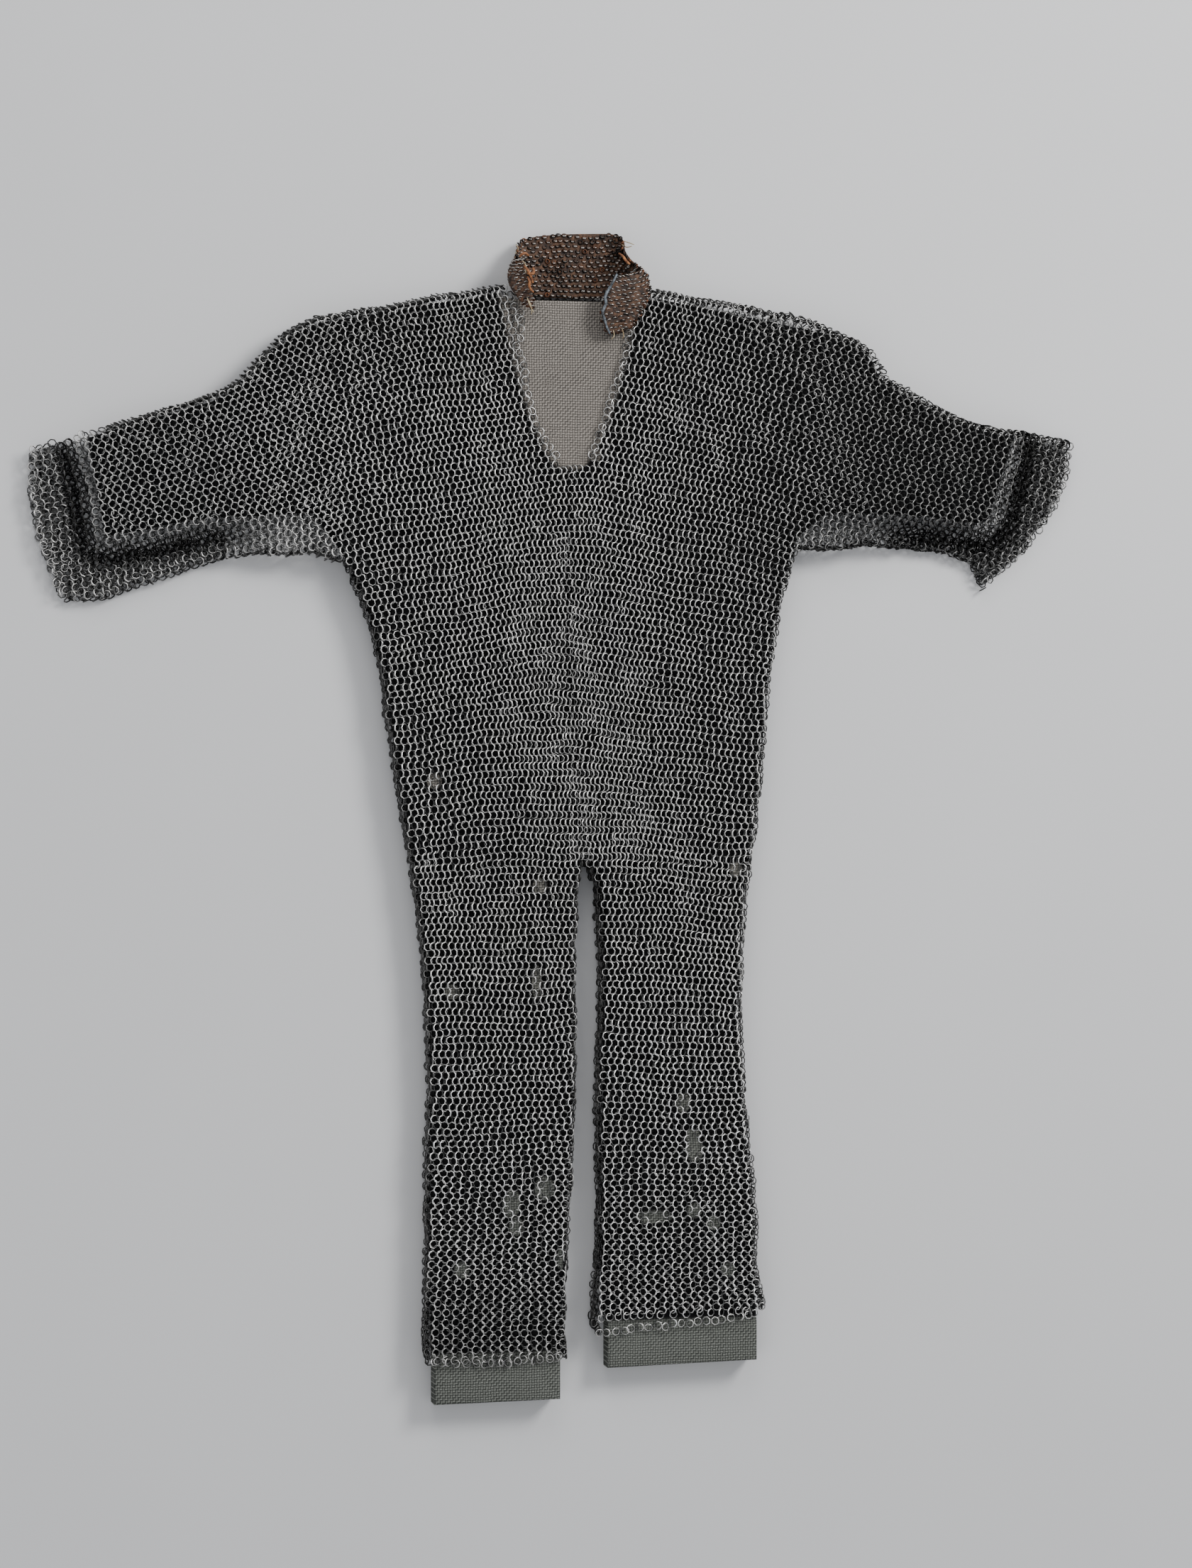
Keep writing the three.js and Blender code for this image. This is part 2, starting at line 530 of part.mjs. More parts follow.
/** Outline of the board, set in from the mail that goes round it. */
function boardOutline() {
  const inset = (p, dx, dy) => ({ x: p.x + dx, y: p.y + dy });
  const arm = (table, sign) => {
    const on = table.slice(1, -3);
    const edge = on.map((r) => ({ x: r.topX, y: r.topY }));
    const top = moveOver(edge, sign * (CLEAR + 1));
    const low = on.map((r) => {
      const length = Math.hypot(r.lowX - r.topX, r.lowY - r.topY);
      const t = Math.min(r.fold - CLEAR, length - CLEAR - 2) / length;
      return { x: mix(r.topX, r.lowX, t), y: mix(r.topY, r.lowY, t) };
    });
    const end = on.length - 1;
    top[end].x -= sign * CLEAR;
    low[end].x -= sign * CLEAR;
    return { top, low };
  };
  const right = arm(SLEEVE_RIGHT, -1);
  const left = arm(SLEEVE_LEFT, 1);
  const legWest = LEG_RIGHT.slice(1).map((r) => inset({ x: r.west + r.lean, y: r.y }, CLEAR, 0));
  const legEast = LEG_LEFT.slice(1).map((r) => inset({ x: r.east, y: r.y }, -CLEAR, 0));
  const insideRight = LEG_RIGHT.slice(1).map((r) => inset({ x: r.east, y: r.y }, -CLEAR, 0));
  const insideLeft = LEG_LEFT.slice(1).map((r) => inset({ x: r.west + r.lean, y: r.y }, CLEAR, 0));
  const ends = { right: BOARD_LEG_RIGHT, left: BOARD_LEG_LEFT };
  return [
    { x: -45, y: 577 }, { x: -70, y: 578 }, { x: -84, y: 584 },
    ...right.top,
    ...right.low.reverse(),
    { x: ARMPIT_RIGHT.x + 3, y: ARMPIT_RIGHT.y + CLEAR + 8 },
    ...FRONT_RIGHT.slice(8).map((r) => inset({ x: r.side, y: r.sideY }, CLEAR, 0)),
    ...legWest.slice(0, -2),
    { x: ends.right.west, y: -600 }, { x: ends.right.west, y: ends.right.westY },
    { x: ends.right.east, y: ends.right.eastY }, { x: ends.right.east, y: -600 },
    ...insideRight.slice(0, -2).reverse(),
    { x: CROTCH.x - 5, y: CROTCH.y - 2 }, { x: CROTCH.x - 4, y: CROTCH.y + 6 },
    { x: CROTCH.x + 8, y: CROTCH.y + 6 }, { x: CROTCH.x + 14, y: CROTCH.y - 2 },
    ...insideLeft.slice(0, -3),
    { x: ends.left.west, y: -575 }, { x: ends.left.west, y: ends.left.westY },
    { x: ends.left.east, y: ends.left.eastY }, { x: ends.left.east, y: -575 },
    ...legEast.slice(0, -3).reverse(),
    ...FRONT_LEFT.slice(8).reverse().map((r) => inset({ x: r.side, y: r.sideY }, -CLEAR, 0)),
    { x: ARMPIT_LEFT.x - 3, y: ARMPIT_LEFT.y + CLEAR + 8 },
    ...left.low,
    ...left.top.reverse(),
    { x: 104, y: 582 }, { x: 80, y: 578 }, { x: 50, y: 577 },
  ];
}

// ------------------------------------------------------------------ materials

const steel = () => new THREE.MeshStandardMaterial({ color: 0x7d7d7a, roughness: 0.45, metalness: 0.9 });
const rust = () => new THREE.MeshStandardMaterial({ color: 0x3b2a1f, roughness: 0.7, metalness: 0.4 });
const linen = () => new THREE.MeshStandardMaterial({ color: 0x9a948a, roughness: 0.95, metalness: 0 });

// ----------------------------------------------------------------------- part

const part = new THREE.Group();
part.name = 'mail_suit';

function add(name, geometry, material) {
  const mesh = new THREE.Mesh(geometry, material);
  mesh.name = name;
  part.add(mesh);
}

add('display_board', plate(boardOutline(), BOARD_BASE, BOARD, BOARD_ROUND), linen());
add('shirt_back', shirtBack(), steel());
add('shirt_front_right', shirtFront(FRONT_RIGHT, 9, 1), steel());
add('shirt_front_left', shirtFront(FRONT_LEFT, 9, -1), steel());
add('right_sleeve', sleeve(SLEEVE_RIGHT, 6, -1), steel());
add('left_sleeve', sleeve(SLEEVE_LEFT, 6, 1), steel());
add('right_leg', leg(LEG_RIGHT, 8, 0), steel());
add('left_leg', leg(LEG_LEFT, 8, LEG_LEFT_HEM_SLOPE), steel());
add('collar', collar(), rust());

export default part;
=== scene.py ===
# %% [markdown]
# # A mail suit laid flat on its linen-covered board
#
# The suit is thousands of steel rings in a weave where one ring holds four others. It is
# pulled over a flat padded board, and its small standing collar is a different, tighter
# mail that has gone brown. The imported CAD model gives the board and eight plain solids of
# cloth. This script lays rings over those solids in the pattern of that weave, covers the
# board in linen, and adds the collar.
#
# Lengths are millimetres until a mesh is made. +Y points to the collar and +Z is up.
# Right and left are the wearer's, so the right sleeve lies along -X.

# %% The frame
import math

import bmesh
import bpy
import numpy as np
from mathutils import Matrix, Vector
from mathutils.bvhtree import BVHTree


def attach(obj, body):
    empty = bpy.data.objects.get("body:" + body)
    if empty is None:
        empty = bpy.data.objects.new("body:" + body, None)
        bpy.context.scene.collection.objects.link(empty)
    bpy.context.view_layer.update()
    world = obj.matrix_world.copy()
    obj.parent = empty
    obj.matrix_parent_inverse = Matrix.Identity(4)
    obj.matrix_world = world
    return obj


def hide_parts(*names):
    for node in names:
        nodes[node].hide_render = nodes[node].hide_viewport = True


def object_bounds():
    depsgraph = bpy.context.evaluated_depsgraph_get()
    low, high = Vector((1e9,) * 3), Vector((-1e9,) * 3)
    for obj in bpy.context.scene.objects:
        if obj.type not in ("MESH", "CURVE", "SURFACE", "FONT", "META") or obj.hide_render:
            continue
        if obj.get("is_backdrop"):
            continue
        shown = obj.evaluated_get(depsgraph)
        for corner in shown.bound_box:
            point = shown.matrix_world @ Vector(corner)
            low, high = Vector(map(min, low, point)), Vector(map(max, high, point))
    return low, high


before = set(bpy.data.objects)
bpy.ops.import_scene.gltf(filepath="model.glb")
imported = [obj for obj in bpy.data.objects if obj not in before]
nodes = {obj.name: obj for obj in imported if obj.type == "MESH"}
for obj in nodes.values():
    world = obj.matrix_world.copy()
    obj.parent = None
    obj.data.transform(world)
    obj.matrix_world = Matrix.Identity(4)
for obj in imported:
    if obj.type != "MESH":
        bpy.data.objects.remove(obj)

cad_low, cad_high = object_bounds()
print("CAD nodes:", sorted(nodes))

# %% [markdown]
# ## Feeling the solids
#
# The rings have to lie on the cloth solids, not near them. One way would be to type the
# outlines again. It is safer to feel for them with rays: a ray that is cast sideways
# finds the edge of a leg at that height, and a ray cast down finds how high the cloth
# lies. Both are measured once on a coarse grid and looked up from there.

# %% Rays against the solids
MM = 0.001


def tree_of(*names):
    """Search tree over the triangles of the solids with these names."""
    points, faces = [], []
    for name in names:
        start = len(points)
        points += [v.co.copy() for v in nodes[name].data.vertices]
        faces += [[start + i for i in p.vertices] for p in nodes[name].data.polygons]
    return BVHTree.FromPolygons(points, faces)


def feel(tree, start, direction):
    """Where each ray first meets the tree, in mm. NaN where it meets nothing."""
    hits = [tree.ray_cast(Vector(p), Vector(direction))[0] for p in start * MM]
    return np.array([tuple(h) if h else (np.nan,) * 3 for h in hits]) / MM


def edge_line(names, across, stations, height, side, least=-900):
    """The outermost coordinate of a solid at each station.

    `across` is 0 for an edge felt along X at stations of y, 1 for one felt along Y at
    stations of x. `side` is -1 for the low edge and +1 for the high one. An edge nearer
    the middle than `least` is a ray that slipped through an opening.
    """
    start = np.zeros((len(stations), 3))
    start[:, across] = 900 * side
    start[:, 1 - across] = stations
    start[:, 2] = height
    direction = np.zeros(3)
    direction[across] = -side
    found = feel(tree_of(*names), start, direction)[:, across]
    known = np.nan_to_num(found * side, nan=-1e6) > least
    return np.interp(stations, stations[known], found[known])


def smooth_step(low, high, x):
    """0 below low, 1 above high, and an S-curve between them."""
    t = np.clip((x - low) / (high - low), 0, 1)
    return t * t * (3 - 2 * t)


# %% How high the front layer lies
CELL = 8
grid_x = np.arange(-616, 617, CELL)
grid_y = np.arange(-672, 673, CELL)
FRONT_NODES = ("shirt_front_right", "shirt_front_left", "right_sleeve", "left_sleeve",
               "right_leg", "left_leg")


def spread_out(known, values, rounds):
    """Unknown cells take the mean of the known cells round them, a ring at a time."""
    for _ in range(rounds):
        padded, seen = np.pad(values * known, 1), np.pad(known.astype(float), 1)
        total = sum(padded[i:i + known.shape[0], j:j + known.shape[1]]
                    for i in range(3) for j in range(3))
        count = sum(seen[i:i + known.shape[0], j:j + known.shape[1]]
                    for i in range(3) for j in range(3))
        fresh = ~known & (count > 0)
        values = np.where(fresh, total / np.maximum(count, 1), values)
        known = known | fresh
    return values


def blurred(values):
    """Mean of each cell and its eight neighbours."""
    padded = np.pad(values, 1, mode="edge")
    return sum(padded[i:i + values.shape[0], j:j + values.shape[1]]
               for i in range(3) for j in range(3)) / 9


def height_map():
    """Height of the outer face over the grid, without the rolled-over edges."""
    x, y = np.meshgrid(grid_x, grid_y, indexing="ij")
    start = np.stack([x.ravel(), y.ravel(), np.full(x.size, 200.0)], 1)
    z = feel(tree_of(*FRONT_NODES), start, (0, 0, -1))[:, 2].reshape(x.shape)
    hit = ~np.isnan(z)
    inner = hit.copy()
    for axis in (0, 1):
        for step in (-1, 1):
            inner &= np.roll(hit, step, axis)
    z = spread_out(inner, np.where(inner, z, 0), 12)
    padded = np.pad(z, 1, mode="edge")
    high = np.max([padded[i:i + z.shape[0], j:j + z.shape[1]]
                   for i in range(3) for j in range(3)], axis=0)
    return blurred(high)


height = height_map()
slope_x, slope_y = np.gradient(height, CELL)


def look_up(table, x, y):
    """Value of a grid table at places between its cells, by bilinear mixing."""
    i = np.clip((x - grid_x[0]) / CELL, 0, len(grid_x) - 1.001)
    j = np.clip((y - grid_y[0]) / CELL, 0, len(grid_y) - 1.001)
    a, b = i.astype(int), j.astype(int)
    s, t = i - a, j - b
    return ((table[a, b] * (1 - s) + table[a + 1, b] * s) * (1 - t)
            + (table[a, b + 1] * (1 - s) + table[a + 1, b + 1] * s) * t)


print("front layer lies between", height.min().round(1), "and", height.max().round(1), "mm")

# %% Edges of the cloth
body_y = np.arange(-51.0, 300, 6)
leg_y = np.arange(-622.0, -50, 6)
sleeve_x = {-1: np.arange(-602.0, -256, 4), 1: np.arange(268.0, 600, 4)}
FRONTS = ("shirt_front_right", "shirt_front_left")
SLEEVES = {-1: "right_sleeve", 1: "left_sleeve"}
LEGS = {-1: "right_leg", 1: "left_leg"}

body_edge = {s: edge_line(FRONTS, 0, body_y, 20, s, 150) for s in (-1, 1)}
leg_edge = {(leg, s): edge_line([LEGS[leg]], 0, leg_y, 17, s) for leg in (-1, 1) for s in (-1, 1)}
shoulder_x = np.arange(-258.0, 269, 6)
shoulder_edge = edge_line(FRONTS, 1, shoulder_x, 20, 1, 500)
cuff_y = np.arange(230.0, 430, 4)


def outermost(name, across, stations, side, least):
    """Edge of a sleeve felt at several heights, because some rays slip into its cuff."""
    return side * np.max([side * edge_line([name], across, stations, z, side, least)
                          for z in (1.5, 9, 10.5, 11.5, 13, 14.5)], axis=0)


sleeve_edge = {(arm, s): outermost(SLEEVES[arm], 1, sleeve_x[arm], s, -900)
               for arm in (-1, 1) for s in (-1, 1)}
cuff_edge = {arm: outermost(SLEEVES[arm], 0, cuff_y, arm, 400) for arm in (-1, 1)}


def neck_line(side):
    """Half-open edge of the V at each height, felt from the middle outwards."""
    y = np.arange(400.0, 592, 6)
    start = np.stack([np.full(len(y), 3.0), y, np.full(len(y), 34.6)], 1)
    found = feel(tree_of(*FRONTS), start, (side, 0, 0))[:, 0]
    known = ~np.isnan(found)
    return y[known], found[known]


neck = {s: neck_line(s) for s in (-1, 1)}
print("torso at y=0 runs from", *[np.interp(0, body_y, body_edge[s]).round() for s in (-1, 1)])

# %% [markdown]
# ## The weave
#
# In real mail of this weave every ring holds four others. Rings of one row all lean the
# same way and the next row leans the other way, half a ring further along. Seen from
# above, a row shows as ")" arcs and the next as "(" arcs, and together they make wavy
# lines down the body. So a ring needs only its row and its place in the row: the row's
# parity settles both the half step and the lean.
#
# The pattern is that of the weave, but not every link closes. Rings are placed one by
# one and then shaken a little, so on the front a ring as a rule passes through two or
# three of its four neighbours and not through the others.
#
# Mail is also a cloth that stretches. On the body the rings are bunched along their row.
# On the sleeves and near the hems they are pulled apart sideways, so the rows close up,
# and the rings show as fuller circles. The rows bend with the drooping sleeves.

# %% Where row and place put a ring
rng = np.random.default_rng(1554)
RING = 4.5             # radius of the middle of the wire
WIRE = 0.86            # from the middle of the wire to its three corners
LEAN = math.radians(34)
SEAM_Y = (-51, -5, 40, 90, 140, 190, 245, 300, 360, 400)
SEAM_X = (16, 10, 6, 2, -1, -3, -3, -2, 1, 1)


def row_gap(y):
    """Distance between rows, by how far down the body they are."""
    return np.interp(y, (-620, -553, -505, -400, -290, -140, 90, 200, 360, 480, 620),
                     (5.3, 5.4, 5.75, 6.35, 7.45, 7.7, 8.0, 7.85, 7.2, 6.95, 6.9))


def ring_gap(y):
    """Distance between rings of a row of a leg, down the leg."""
    return np.interp(y, (-620, -553, -500, -400, -360, -297, -217, -137, -51),
                     (10.8, 10.5, 10.1, 9.6, 8.6, 7.6, 7.1, 6.5, 6.3))


line_y = np.linspace(-700, 760, 2921)
line_rows = np.concatenate([[0], np.cumsum(0.5 / row_gap(line_y[1:]))])
arm_x = np.linspace(0, 760, 1521)
arm_slope = 0.14 * smooth_step(180, 340, arm_x)
arm_drop = np.concatenate([[0], np.cumsum(arm_slope[1:] * 0.5)])
arm_gap = np.interp(arm_x, (0, 45, 85, 130, 190, 255, 330, 450, 760),
                    (5.8, 6.1, 6.3, 7.0, 7.4, 8.2, 9.1, 9.6, 9.8))
arm_count = np.concatenate([[0], np.cumsum(0.5 / arm_gap[1:])])
BEND = 65              # how far from the middle seam the rows have taken their slope
FIRST_GAP = 7.1        # a first guess at the distance between rings of a row
TURN_Y = 330           # height about which the columns turn with the drooping rows


def rise(y):
    """Slope that the rows take up on either side of the seam, by height."""
    return np.interp(y, (-200, -130, 0, 79, 119, 200, 620),
                     (0, 0.045, 0.11, 0.146, 0.17, 0.22, 0.22))


def row_slope(x, y):
    """How steeply a row climbs towards the middle seam, positive on both sides of it."""
    return rise(y) * np.tanh(np.abs(x) / BEND) + np.interp(np.abs(x), arm_x, arm_slope)


def row_drop(x, y):
    """How far a row has come down at x: the slope summed from the seam outwards."""
    return rise(y) * BEND * np.log(np.cosh(x / BEND)) + np.interp(np.abs(x), arm_x, arm_drop)


def unrest(strength):
    """A table over the grid that wanders by about `strength`, with 20 mm between bumps."""
    return blurred(rng.standard_normal(height.shape)) * 3 * strength


crowd_x, crowd_y, crowd_lean = unrest(1.0), unrest(0.8), unrest(math.radians(7))
rumple_x, rumple_y = unrest(0.4), unrest(0.4)


def waves(x, y):
    """Low wandering of the rows, in mm: three long sine waves across each other."""
    return (2.6 * np.sin(x / 88 + y / 190) + 1.5 * np.sin(x / 37 - y / 121 + 1.1)
            + 0.9 * np.sin(x / 21 + y / 47 + 2.3))


def upper_places(rows, columns):
    """x and y of rings of the shirt and sleeves, found by closing in on both at once.

    A row is a level line that drops away from the seam, and a column crosses it nearly
    at a right angle. Each round puts x from the column and y from the row, using the
    last round's x and y for the slope.
    """
    flat_y = np.interp(rows, line_rows, line_y)
    x, y = columns * FIRST_GAP, flat_y.copy()
    for _ in range(40):
        seam = np.interp(y, SEAM_Y, SEAM_X)
        from_seam = x - seam
        turn = row_slope(from_seam, y) * np.sign(from_seam)
        close = 1 - 0.1 * smooth_step(180, 330, np.abs(x))
        along = np.sign(columns) * np.interp(np.abs(columns), arm_count, arm_x)
        upright = 0.7 * turn * np.where(y > TURN_Y, y - TURN_Y, 0.35 * (y - TURN_Y))
        new_x = along + seam * (1 - smooth_step(0, 200, np.abs(along))) + upright
        new_y = TURN_Y + (flat_y - TURN_Y) * close - row_drop(from_seam, y) - waves(x, y) + 20
        x, y = x + 0.6 * (new_x - x), y + 0.6 * (new_y - y)
    return x, y


def leg_places(rows, columns, leg):
    """x and y of rings of one leg: level rows, and columns that fan with the ring gap."""
    flat_y = np.interp(rows, line_rows, line_y)
    x, y = columns * FIRST_GAP, flat_y.copy()
    for _ in range(12):
        low, high = (np.interp(y, leg_y, leg_edge[leg, s]) for s in (-1, 1))
        middle = (low + high) / 2
        top_middle = (leg_edge[leg, -1][-1] + leg_edge[leg, 1][-1]) / 2
        x = middle + (columns - (top_middle - 16) / 6.3) * ring_gap(y)
        y = flat_y + 20 - row_drop(x - 16, y) - waves(x, y) * smooth_step(-700, -300, y)
    return x, y


def all_rows(low_y, high_y, step=1):
    """Row numbers between two heights."""
    return np.arange(int(np.interp(low_y, line_y, line_rows)),
                     int(np.interp(high_y, line_y, line_rows)) + 2, step)


def lattice(rows, columns):
    """Every row with every column, odd rows half a ring further along."""
    r, c = np.meshgrid(rows, columns, indexing="ij")
    return r.ravel(), (c + 0.5 * (r % 2)).ravel()


# %% [markdown]
# ## Turning over the edges
#
# A row doesn't stop at the side of a leg. It turns over the padded edge and goes down the
# side of the board. So a ring's place across the cloth is measured along the cloth, as if
# it were flat, and is then wrapped: flat on top, round a small corner, and straight down.

# %% Wrapping a flat place over an edge
CORNER = 6.5
STAND_OFF = 0.4        # a ring's middle lies this far under the outer face
WALL_OFF = 1.6         # the same on an upright side


def wrap(place, low, high, top):
    """A flat place across the cloth, wrapped over the edges at low and high.

    Returns the real place across, its height, and the angle of the outward side from
    straight up, negative over the low edge. Beyond the flat part by d, the cloth has
    turned by d/CORNER up to a quarter turn, and what is left of d goes straight down.
    """
    side = np.where(place > (low + high) / 2, 1.0, -1.0)
    start = np.where(side > 0, high, low) - side * CORNER
    beyond = np.maximum(side * (place - start), 0)
    angle = np.minimum(beyond / CORNER, math.pi / 2)
    down = np.maximum(beyond - CORNER * math.pi / 2, 0)
    radius = CORNER - STAND_OFF - (WALL_OFF - STAND_OFF) * angle / (math.pi / 2)
    across = np.where(beyond > 0, start + side * radius * np.sin(angle), place)
    z = top - CORNER + radius * np.cos(angle) - down
    return across, z, side * angle


class Places:
    """Rings gathered for one piece: middle, outward side, row direction, and looks."""

    def __init__(self):
        self.parts = []

    def add(self, middle, out, along, parity, lean=LEAN, tone=1.0, size=1.0, plain=False):
        """Adds one array of rings. Single numbers are spread over the whole array."""
        count = len(middle)
        full = lambda v: np.broadcast_to(np.asarray(v, float), (count,)).copy()
        self.parts.append((middle, out, along, np.where(parity % 2 == 0, 1.0, -1.0),
                           full(lean), full(tone), full(size), full(plain)))

    def joined(self):
        """The arrays of all the parts, end to end."""
        return [np.concatenate(column) for column in zip(*self.parts)]


# %% [markdown]
# ## Making the ring meshes
#
# A ring is a small torus of seven segments with a three-sided wire: 42 triangles, which
# read as a round wire at this size once the normals are smoothed. All the rings of a
# piece are one mesh, made as one array of rings by segments by sides. Each ring gets a
# cell of its own on the `OFBake` map, unrolled, so that its finish can be baked without
# unwrapping thousands of rings.

# %% Small helpers for meshes
def unit(v):
    """Rows of v at length 1."""
    return v / np.maximum(np.linalg.norm(v, axis=-1, keepdims=True), 1e-9)


def piece_from(name, points, faces, material, smooth=True):
    """A mesh object from points in mm and faces, at the origin."""
    mesh = bpy.data.meshes.new(name)
    mesh.from_pydata(points * MM, [], faces)
    mesh.polygons.foreach_set("use_smooth", np.full(len(mesh.polygons), smooth))
    mesh.materials.append(material)
    piece = bpy.data.objects.new(name, mesh)
    bpy.context.scene.collection.objects.link(piece)
    return piece


def give(piece, name, values):
    """One number for each vertex, under a name that a material can read."""
    layer = piece.data.attributes.new(name, "FLOAT", "POINT")
    layer.data.foreach_set("value", np.asarray(values, np.float32).ravel())


def give_map(piece, uv):
    """The bake's own map: one u, v pair for each face corner."""
    layer = piece.data.uv_layers.new(name="OFBake")
    layer.data.foreach_set("uv", np.asarray(uv, np.float32).ravel())


def ring_grid(rings, segments, sides, first, total):
    """Quads of `rings` tori, and their corners' cells on the map.

    Vertex number = (ring * segments + segment) * sides + side, both wrapping round. On
    the map, ring i of the piece's total has cell (i % n, i // n) of an n by n board,
    with a small margin. `first` is the number of this group's first ring in the piece.
    """
    ring, seg, side = np.meshgrid(np.arange(rings), np.arange(segments), np.arange(sides),
                                  indexing="ij")
    corners = ((0, 0), (1, 0), (1, 1), (0, 1))
    number = [(ring * segments + (seg + a) % segments) * sides + (side + b) % sides
              for a, b in corners]
    faces = np.stack(number, -1).reshape(-1, 4)
    board = math.ceil(math.sqrt(total))
    cell = ring + first
    u = [(cell % board + 0.05 + 0.9 * (seg + a) / segments) / board for a, b in corners]
    v = [(cell // board + 0.05 + 0.9 * (side + b) / sides) / board for a, b in corners]
    uv = np.stack([np.stack(u, -1), np.stack(v, -1)], -1).reshape(-1, 2)
    return faces, uv


def ring_mesh(name, places, material, segments=7, sides=3, wire=WIRE, radius=RING,
              wobble=1.0):
    """One mesh of leaning rings. Those of the under layer have one segment fewer.

    Each ring's plane is turned about the line down the body by its lean, right in even
    rows and left in odd ones. A point of its wire is middle + r (cos a across + sin a
    down) + wire (cos b outward in the plane + sin b along the axis).
    """
    middle, out, along, way, lean, tone, size, plain = places.joined()
    order = np.argsort(plain, kind="stable")
    middle, out, along, way, lean, tone, size, plain = (
        column[order] for column in (middle, out, along, way, lean, tone, size, plain))
    count = len(middle)
    x, y = middle[:, 0], middle[:, 1]
    loose = (1 - plain) * wobble
    middle = middle + np.stack([look_up(crowd_x, x, y) * loose, look_up(crowd_y, x, y) * loose,
                                np.zeros(count)], 1)
    jitter = lambda amount: amount * wobble * rng.standard_normal((count, 3))
    out = unit(out + jitter(0.05))
    down = unit(np.cross(out, along + jitter(0.06)))
    across = np.cross(down, out)
    from_seam = x - np.interp(y, SEAM_Y, SEAM_X)
    loose_chance = 0.035 + 0.4 * np.exp(-(from_seam / 5) ** 2) * (np.abs(y - 170) < 225)
    proud = (rng.random(count) < loose_chance * wobble) & (plain < 0.5)
    steep = np.where(way > 0, -math.radians(2.5), math.radians(3)) * (plain < 0.5)
    middle = middle + out * np.where(way > 0, 0.5, -0.45)[:, None] * (plain < 0.5)[:, None]
    lean = way * (lean + steep + wobble * math.radians(5) * rng.standard_normal(count)) \
        + look_up(crowd_lean, x, y) * loose
    lean = np.where(proud, 0.15 * lean, lean)
    middle = middle + jitter(0.22) + out * np.where(proud, 1.0, 0)[:, None]
    axis = out * np.cos(lean)[:, None] + across * np.sin(lean)[:, None]
    across = np.cross(down, axis)
    stretch = 1 + 0.03 * wobble * rng.standard_normal((count, 2))
    own, start = rng.random(count), rng.random((count, 1))
    front = int((plain < 0.5).sum())
    points, faces, uv, lift, repeat, first = [], [], [], [], np.zeros(count, int), 0
    for group, around in ((slice(0, front), segments), (slice(front, count), segments - 1)):
        a = (np.arange(around) + start[group]) * 2 * math.pi / around
        b = np.arange(sides) * 2 * math.pi / sides + math.pi / 2
        outward = (np.cos(a) * stretch[group, :1])[..., None] * across[group, None] \
            + (np.sin(a) * stretch[group, 1:])[..., None] * down[group, None]
        spine = middle[group, None] + (radius * size[group])[:, None, None] * outward
        section = (np.cos(b)[:, None] * outward[:, :, None]
                   + np.sin(b)[:, None] * axis[group, None, None]) * wire
        wires = spine[:, :, None] + section
        quads, corners = ring_grid(len(wires), around, sides, group.start, count)
        points.append(wires.reshape(-1, 3))
        faces.append(quads + first)
        uv.append(corners)
        lift.append(((wires - middle[group, None, None]) * out[group, None, None]).sum(-1).ravel())
        repeat[group] = around * sides
        first += wires.size // 3
    faces = np.concatenate(faces)
    piece = piece_from(name, np.concatenate(points), faces, material)
    give(piece, "lift", np.concatenate(lift))
    give(piece, "tone", np.repeat(tone, repeat))
    give(piece, "own", np.repeat(own, repeat))
    give_map(piece, np.concatenate(uv))
    print(name, count, "rings,", len(faces) * 2, "triangles")
    return piece


# %% [markdown]
# ## Materials as expressions
#
# A node tree is easier to read as a sum. `Field` wraps one socket, and the usual
# operators add Math nodes, so `1 - mask` or `a * 0.5 + b` writes itself. Colours and
# vectors go through their own nodes, because a Math node would turn a colour grey.

# %% Sockets with operators
class Field:
    """A number that varies over a surface: one output socket of a material's nodes."""

    def __init__(self, tree, socket):
        self.tree, self.socket = tree, socket

    def node(self, kind, settings=None, values=None, output=0):
        """Adds any node: its type, its settings, and the values or links of its sockets."""
        made = self.tree.nodes.new(kind)
        for key, value in (settings or {}).items():
            setattr(made, key, value)
        for key, value in (values or {}).items():
            socket = made.inputs[key]
            if isinstance(value, Field):
                self.tree.links.new(value.socket, socket)
            else:
                socket.default_value = value
        return Field(self.tree, made.outputs[output])

    def maths(self, operation, *others):
        """Adds a Math node over this number and up to two others."""
        return self.node("ShaderNodeMath", {"operation": operation},
                         dict(enumerate((self,) + others)))

    def __add__(self, other):
        return self.maths("ADD", other)

    def __sub__(self, other):
        return self.maths("SUBTRACT", other)

    def __mul__(self, other):
        return self.maths("MULTIPLY", other)

    __radd__, __rmul__ = __add__, __mul__

    def __rsub__(self, other):
        return self.maths("MULTIPLY_ADD", -1.0, other)

    def between(self, low, high, to_low=0.0, to_high=1.0):
        """Smoothly from to_low at low to to_high at high."""
        return self.node("ShaderNodeMapRange", {"interpolation_type": "SMOOTHSTEP"},
                         {0: self, 1: low, 2: high, 3: to_low, 4: to_high})

    def colours(self, low, high):
        """Mixes two colours by this number."""
        return self.node("ShaderNodeMix", {"data_type": "RGBA", "clamp_factor": True},
                         {0: self, 6: low, 7: high}, output=2)

    def noise(self, scale, detail=2.0, place=None):
        """Noise at `scale` features a metre, read from this field's vector."""
        return self.node("ShaderNodeTexNoise", {},
                         {"Vector": place or self, "Scale": scale, "Detail": detail})


def new_material(name):
    """A material with a Principled shader. Returns it, its shader, and its object vector."""
    material = bpy.data.materials.new(name)
    material.use_nodes = True
    tree = material.node_tree
    shader = tree.nodes["Principled BSDF"]
    coordinates = tree.nodes.new("ShaderNodeTexCoord")
    return material, shader, Field(tree, coordinates.outputs["Object"])


